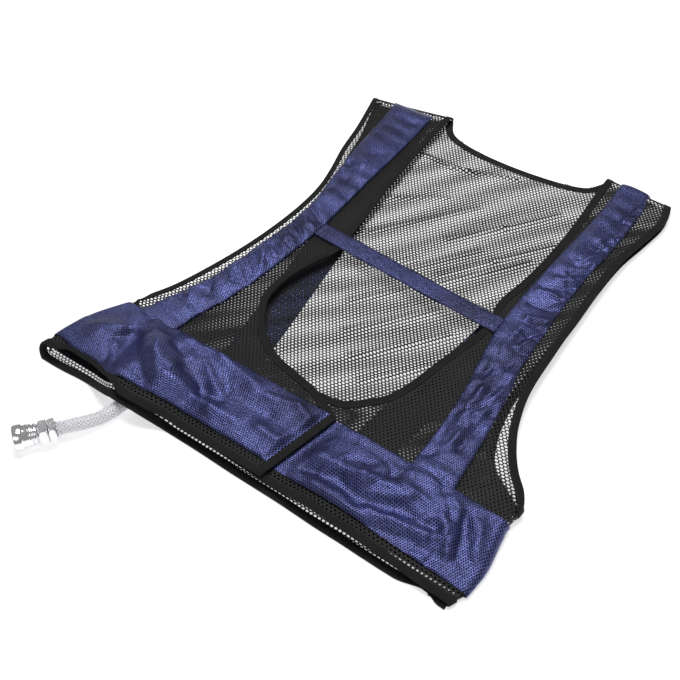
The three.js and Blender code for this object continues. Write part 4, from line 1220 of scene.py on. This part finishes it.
def turned(name, node, at, profile, sides, limit=math.inf, shade=True):
    """A piece turned about the coupling's axis; profile holds (along, radius), and limit is
    the farthest that it reaches in each direction."""
    angles = np.arange(sides) * 2 * math.pi / sides
    level = np.cross(direction, UP)
    spread = level * np.cos(angles)[:, None] + UP * np.sin(angles)[:, None]
    start = np.array([*route[-1, :2], COUPLING_HEIGHT]) + direction * at
    rings = np.stack([start + direction * run + np.minimum(limit, radius)[..., None] * spread
                      for run, radius in profile])
    uv = np.stack(np.broadcast_arrays(angles * 12, lengths_along(rings, 0)), 2)
    faces = grid_faces(len(profile), sides, around=True)
    piece = new_object(name, rings.reshape(-1, 3), faces, CHROME, uv, shade)
    return finish_piece(piece, "coupling", node)


def hexagon(name, node, at, length, across_flats, hole):
    """A hexagon with its corners turned off to a chamfer at both ends."""
    flat = across_flats / 2
    angles = np.arange(HEX_SIDES) * 2 * math.pi / HEX_SIDES
    limit = flat / np.cos(np.mod(angles - HEX_TURN, math.pi / 3) - math.pi / 6)
    profile = [(0, hole), (0, flat - 0.5)]
    for share in (0, 0.35, 0.7, 1.0):
        radius = mix(flat + 0.2, flat / math.cos(math.pi / 6), share)
        profile.append((0.35 + 1.5 * share, radius))
    profile += [(length - run, radius) for run, radius in profile[::-1]]
    return turned(name, node, at, profile, HEX_SIDES, limit, shade=False)


nut = hexagon("coupling_nut", "hose_nut", 0.3, 8.0, 25.0, 8.9)
body_hex = hexagon("coupling_body", "coupler_body", 8.8, 9.6, 25.6, 9.0)
sleeve = turned("coupling_sleeve", "coupler_sleeve", 18.9, SLEEVE_PROFILE, 56)


# Stitches beside the tapes' inner edges

def stitches(name, paths, material):
    """Short threads along paths in space."""
    vertices = []
    faces = []
    for path in paths:
        run = run_of(path)
        for start in np.arange(STITCH_PITCH / 2, run[-1] - STITCH_PITCH, STITCH_PITCH):
            spots = start + np.array([0, STITCH_LENGTH / 2, STITCH_LENGTH])
            points = places_on(path, run, spots)
            across = np.cross(unit(points[2] - points[0]), UP) * THREAD_RADIUS
            offset = len(vertices)
            for point, rise in zip(points, (0.0, STITCH_RISE, 0.0)):
                for a, b in ((1, 0), (0, 1), (-1, 0)):
                    vertices.append(point + across * a + UP * (rise + THREAD_RADIUS * b))
            for k in (0, 1, 3, 4):
                a = offset + k
                faces.append([a, a + 1, a + 4, a + 3])
    return new_object(name, np.array(vertices), faces, material)


seams = []
for half in SIDE:
    heights = (SIDE_UP[half] * BODY_LENGTH + 6, CORNERS[half]["shoulder_up"] * BODY_LENGTH - 4)
    for path, inner_is_left, width in (
        (front_edge_path(half), half == "right", TAPE_WIDTH),
        (side_path(half, *heights), half == "left", ARM_TAPE_WIDTH[half]),
    ):
        seams.append(beside(path, inner_is_left, width - STITCH_IN, on_front(half, TAPE_TOP)))
    seams.append(beside(side_path(half, *heights, True), half == "left", TAPE_WIDTH - STITCH_IN,
                        on_back_flat) + UP * BACK_TAPE_TOP)
    base, _ = waist_base(half, [TAPE_WIDTH - STITCH_IN - 0.5, TAPE_WIDTH - STITCH_IN], TAPE_WIDTH)
    seams.append(base[1, :-WRAP_STEPS] + UP * TAPE_TOP)
for place in (1.8, STRAP_WIDTH - 1.8):
    seams.append(strap_base(place)[0] + UP * 1.15)
seams.append(beside(neck_path(), False, TAPE_WIDTH - STITCH_IN, on_back_flat) + UP * BACK_TAPE_TOP)
finish_piece(stitches("tape_stitches", seams, THREAD), "tape")

# Yarn area of each net in square metres, worked out but not kept
yarn_area(back_plan, back_holes)
for half, (panel, polygon, tapes) in front_pieces.items():
    yarn_area(polygon, front_holes(half))

# Floor, light and camera
floor_mesh = bpy.data.meshes.new("floor")
corners = [(-FLOOR_REACH, -FLOOR_REACH, 0), (FLOOR_REACH, -FLOOR_REACH, 0),
           (FLOOR_REACH, FLOOR_REACH, 0), (-FLOOR_REACH, FLOOR_REACH, 0)]
floor_mesh.from_pydata(corners, [], [(0, 1, 2, 3)])
pale = Nodes("pale_floor", (0.72, 0.72, 0.72), 0.9, Emission_Color=(1, 1, 1, 1),
             Emission_Strength=0.55)
floor_mesh.materials.append(pale.material)
floor = link("floor", floor_mesh)
floor.location.z = -0.0002

scene = bpy.context.scene
scene.world = bpy.data.worlds.new("studio")
scene.world.use_nodes = True
background = scene.world.node_tree.nodes["Background"]
background.inputs["Color"].default_value = (1, 1, 1, 1)
background.inputs["Strength"].default_value = 0.2

for name, place, size, power in (
    ("above", (-0.2, 0.3, 1.9), (1.0, 1.0), 32),
    ("front", (0.5, -1.5, 1.4), (1.2, 0.8), 6),
):
    light = bpy.data.lights.new(name, "AREA")
    light.shape = "RECTANGLE"
    light.size, light.size_y = size
    light.energy = power
    lamp = link(name, light)
    lamp.location = place
    lamp.rotation_euler = (-Vector(place)).to_track_quat("-Z", "Y").to_euler()

level = math.cos(ELEVATION)
back_way = Vector((math.sin(AZIMUTH) * level, -math.cos(AZIMUTH) * level, math.sin(ELEVATION)))
right_way = Vector((math.cos(AZIMUTH), math.sin(AZIMUTH), 0))
up_way = back_way.cross(right_way)
axes = (math.cos(ROLL) * right_way + math.sin(ROLL) * up_way,
        -math.sin(ROLL) * right_way + math.cos(ROLL) * up_way, back_way)
camera_data = bpy.data.cameras.new("camera")
camera_data.lens = LENS
camera_data.sensor_width = 36
camera = link("camera", camera_data)
camera.location = Vector(to_metres(TARGET)) + back_way * DISTANCE
camera.rotation_euler = Matrix([[axis[k] for axis in axes] for k in range(3)]).to_euler()
scene.camera = camera
scene.view_settings.view_transform = "Standard"
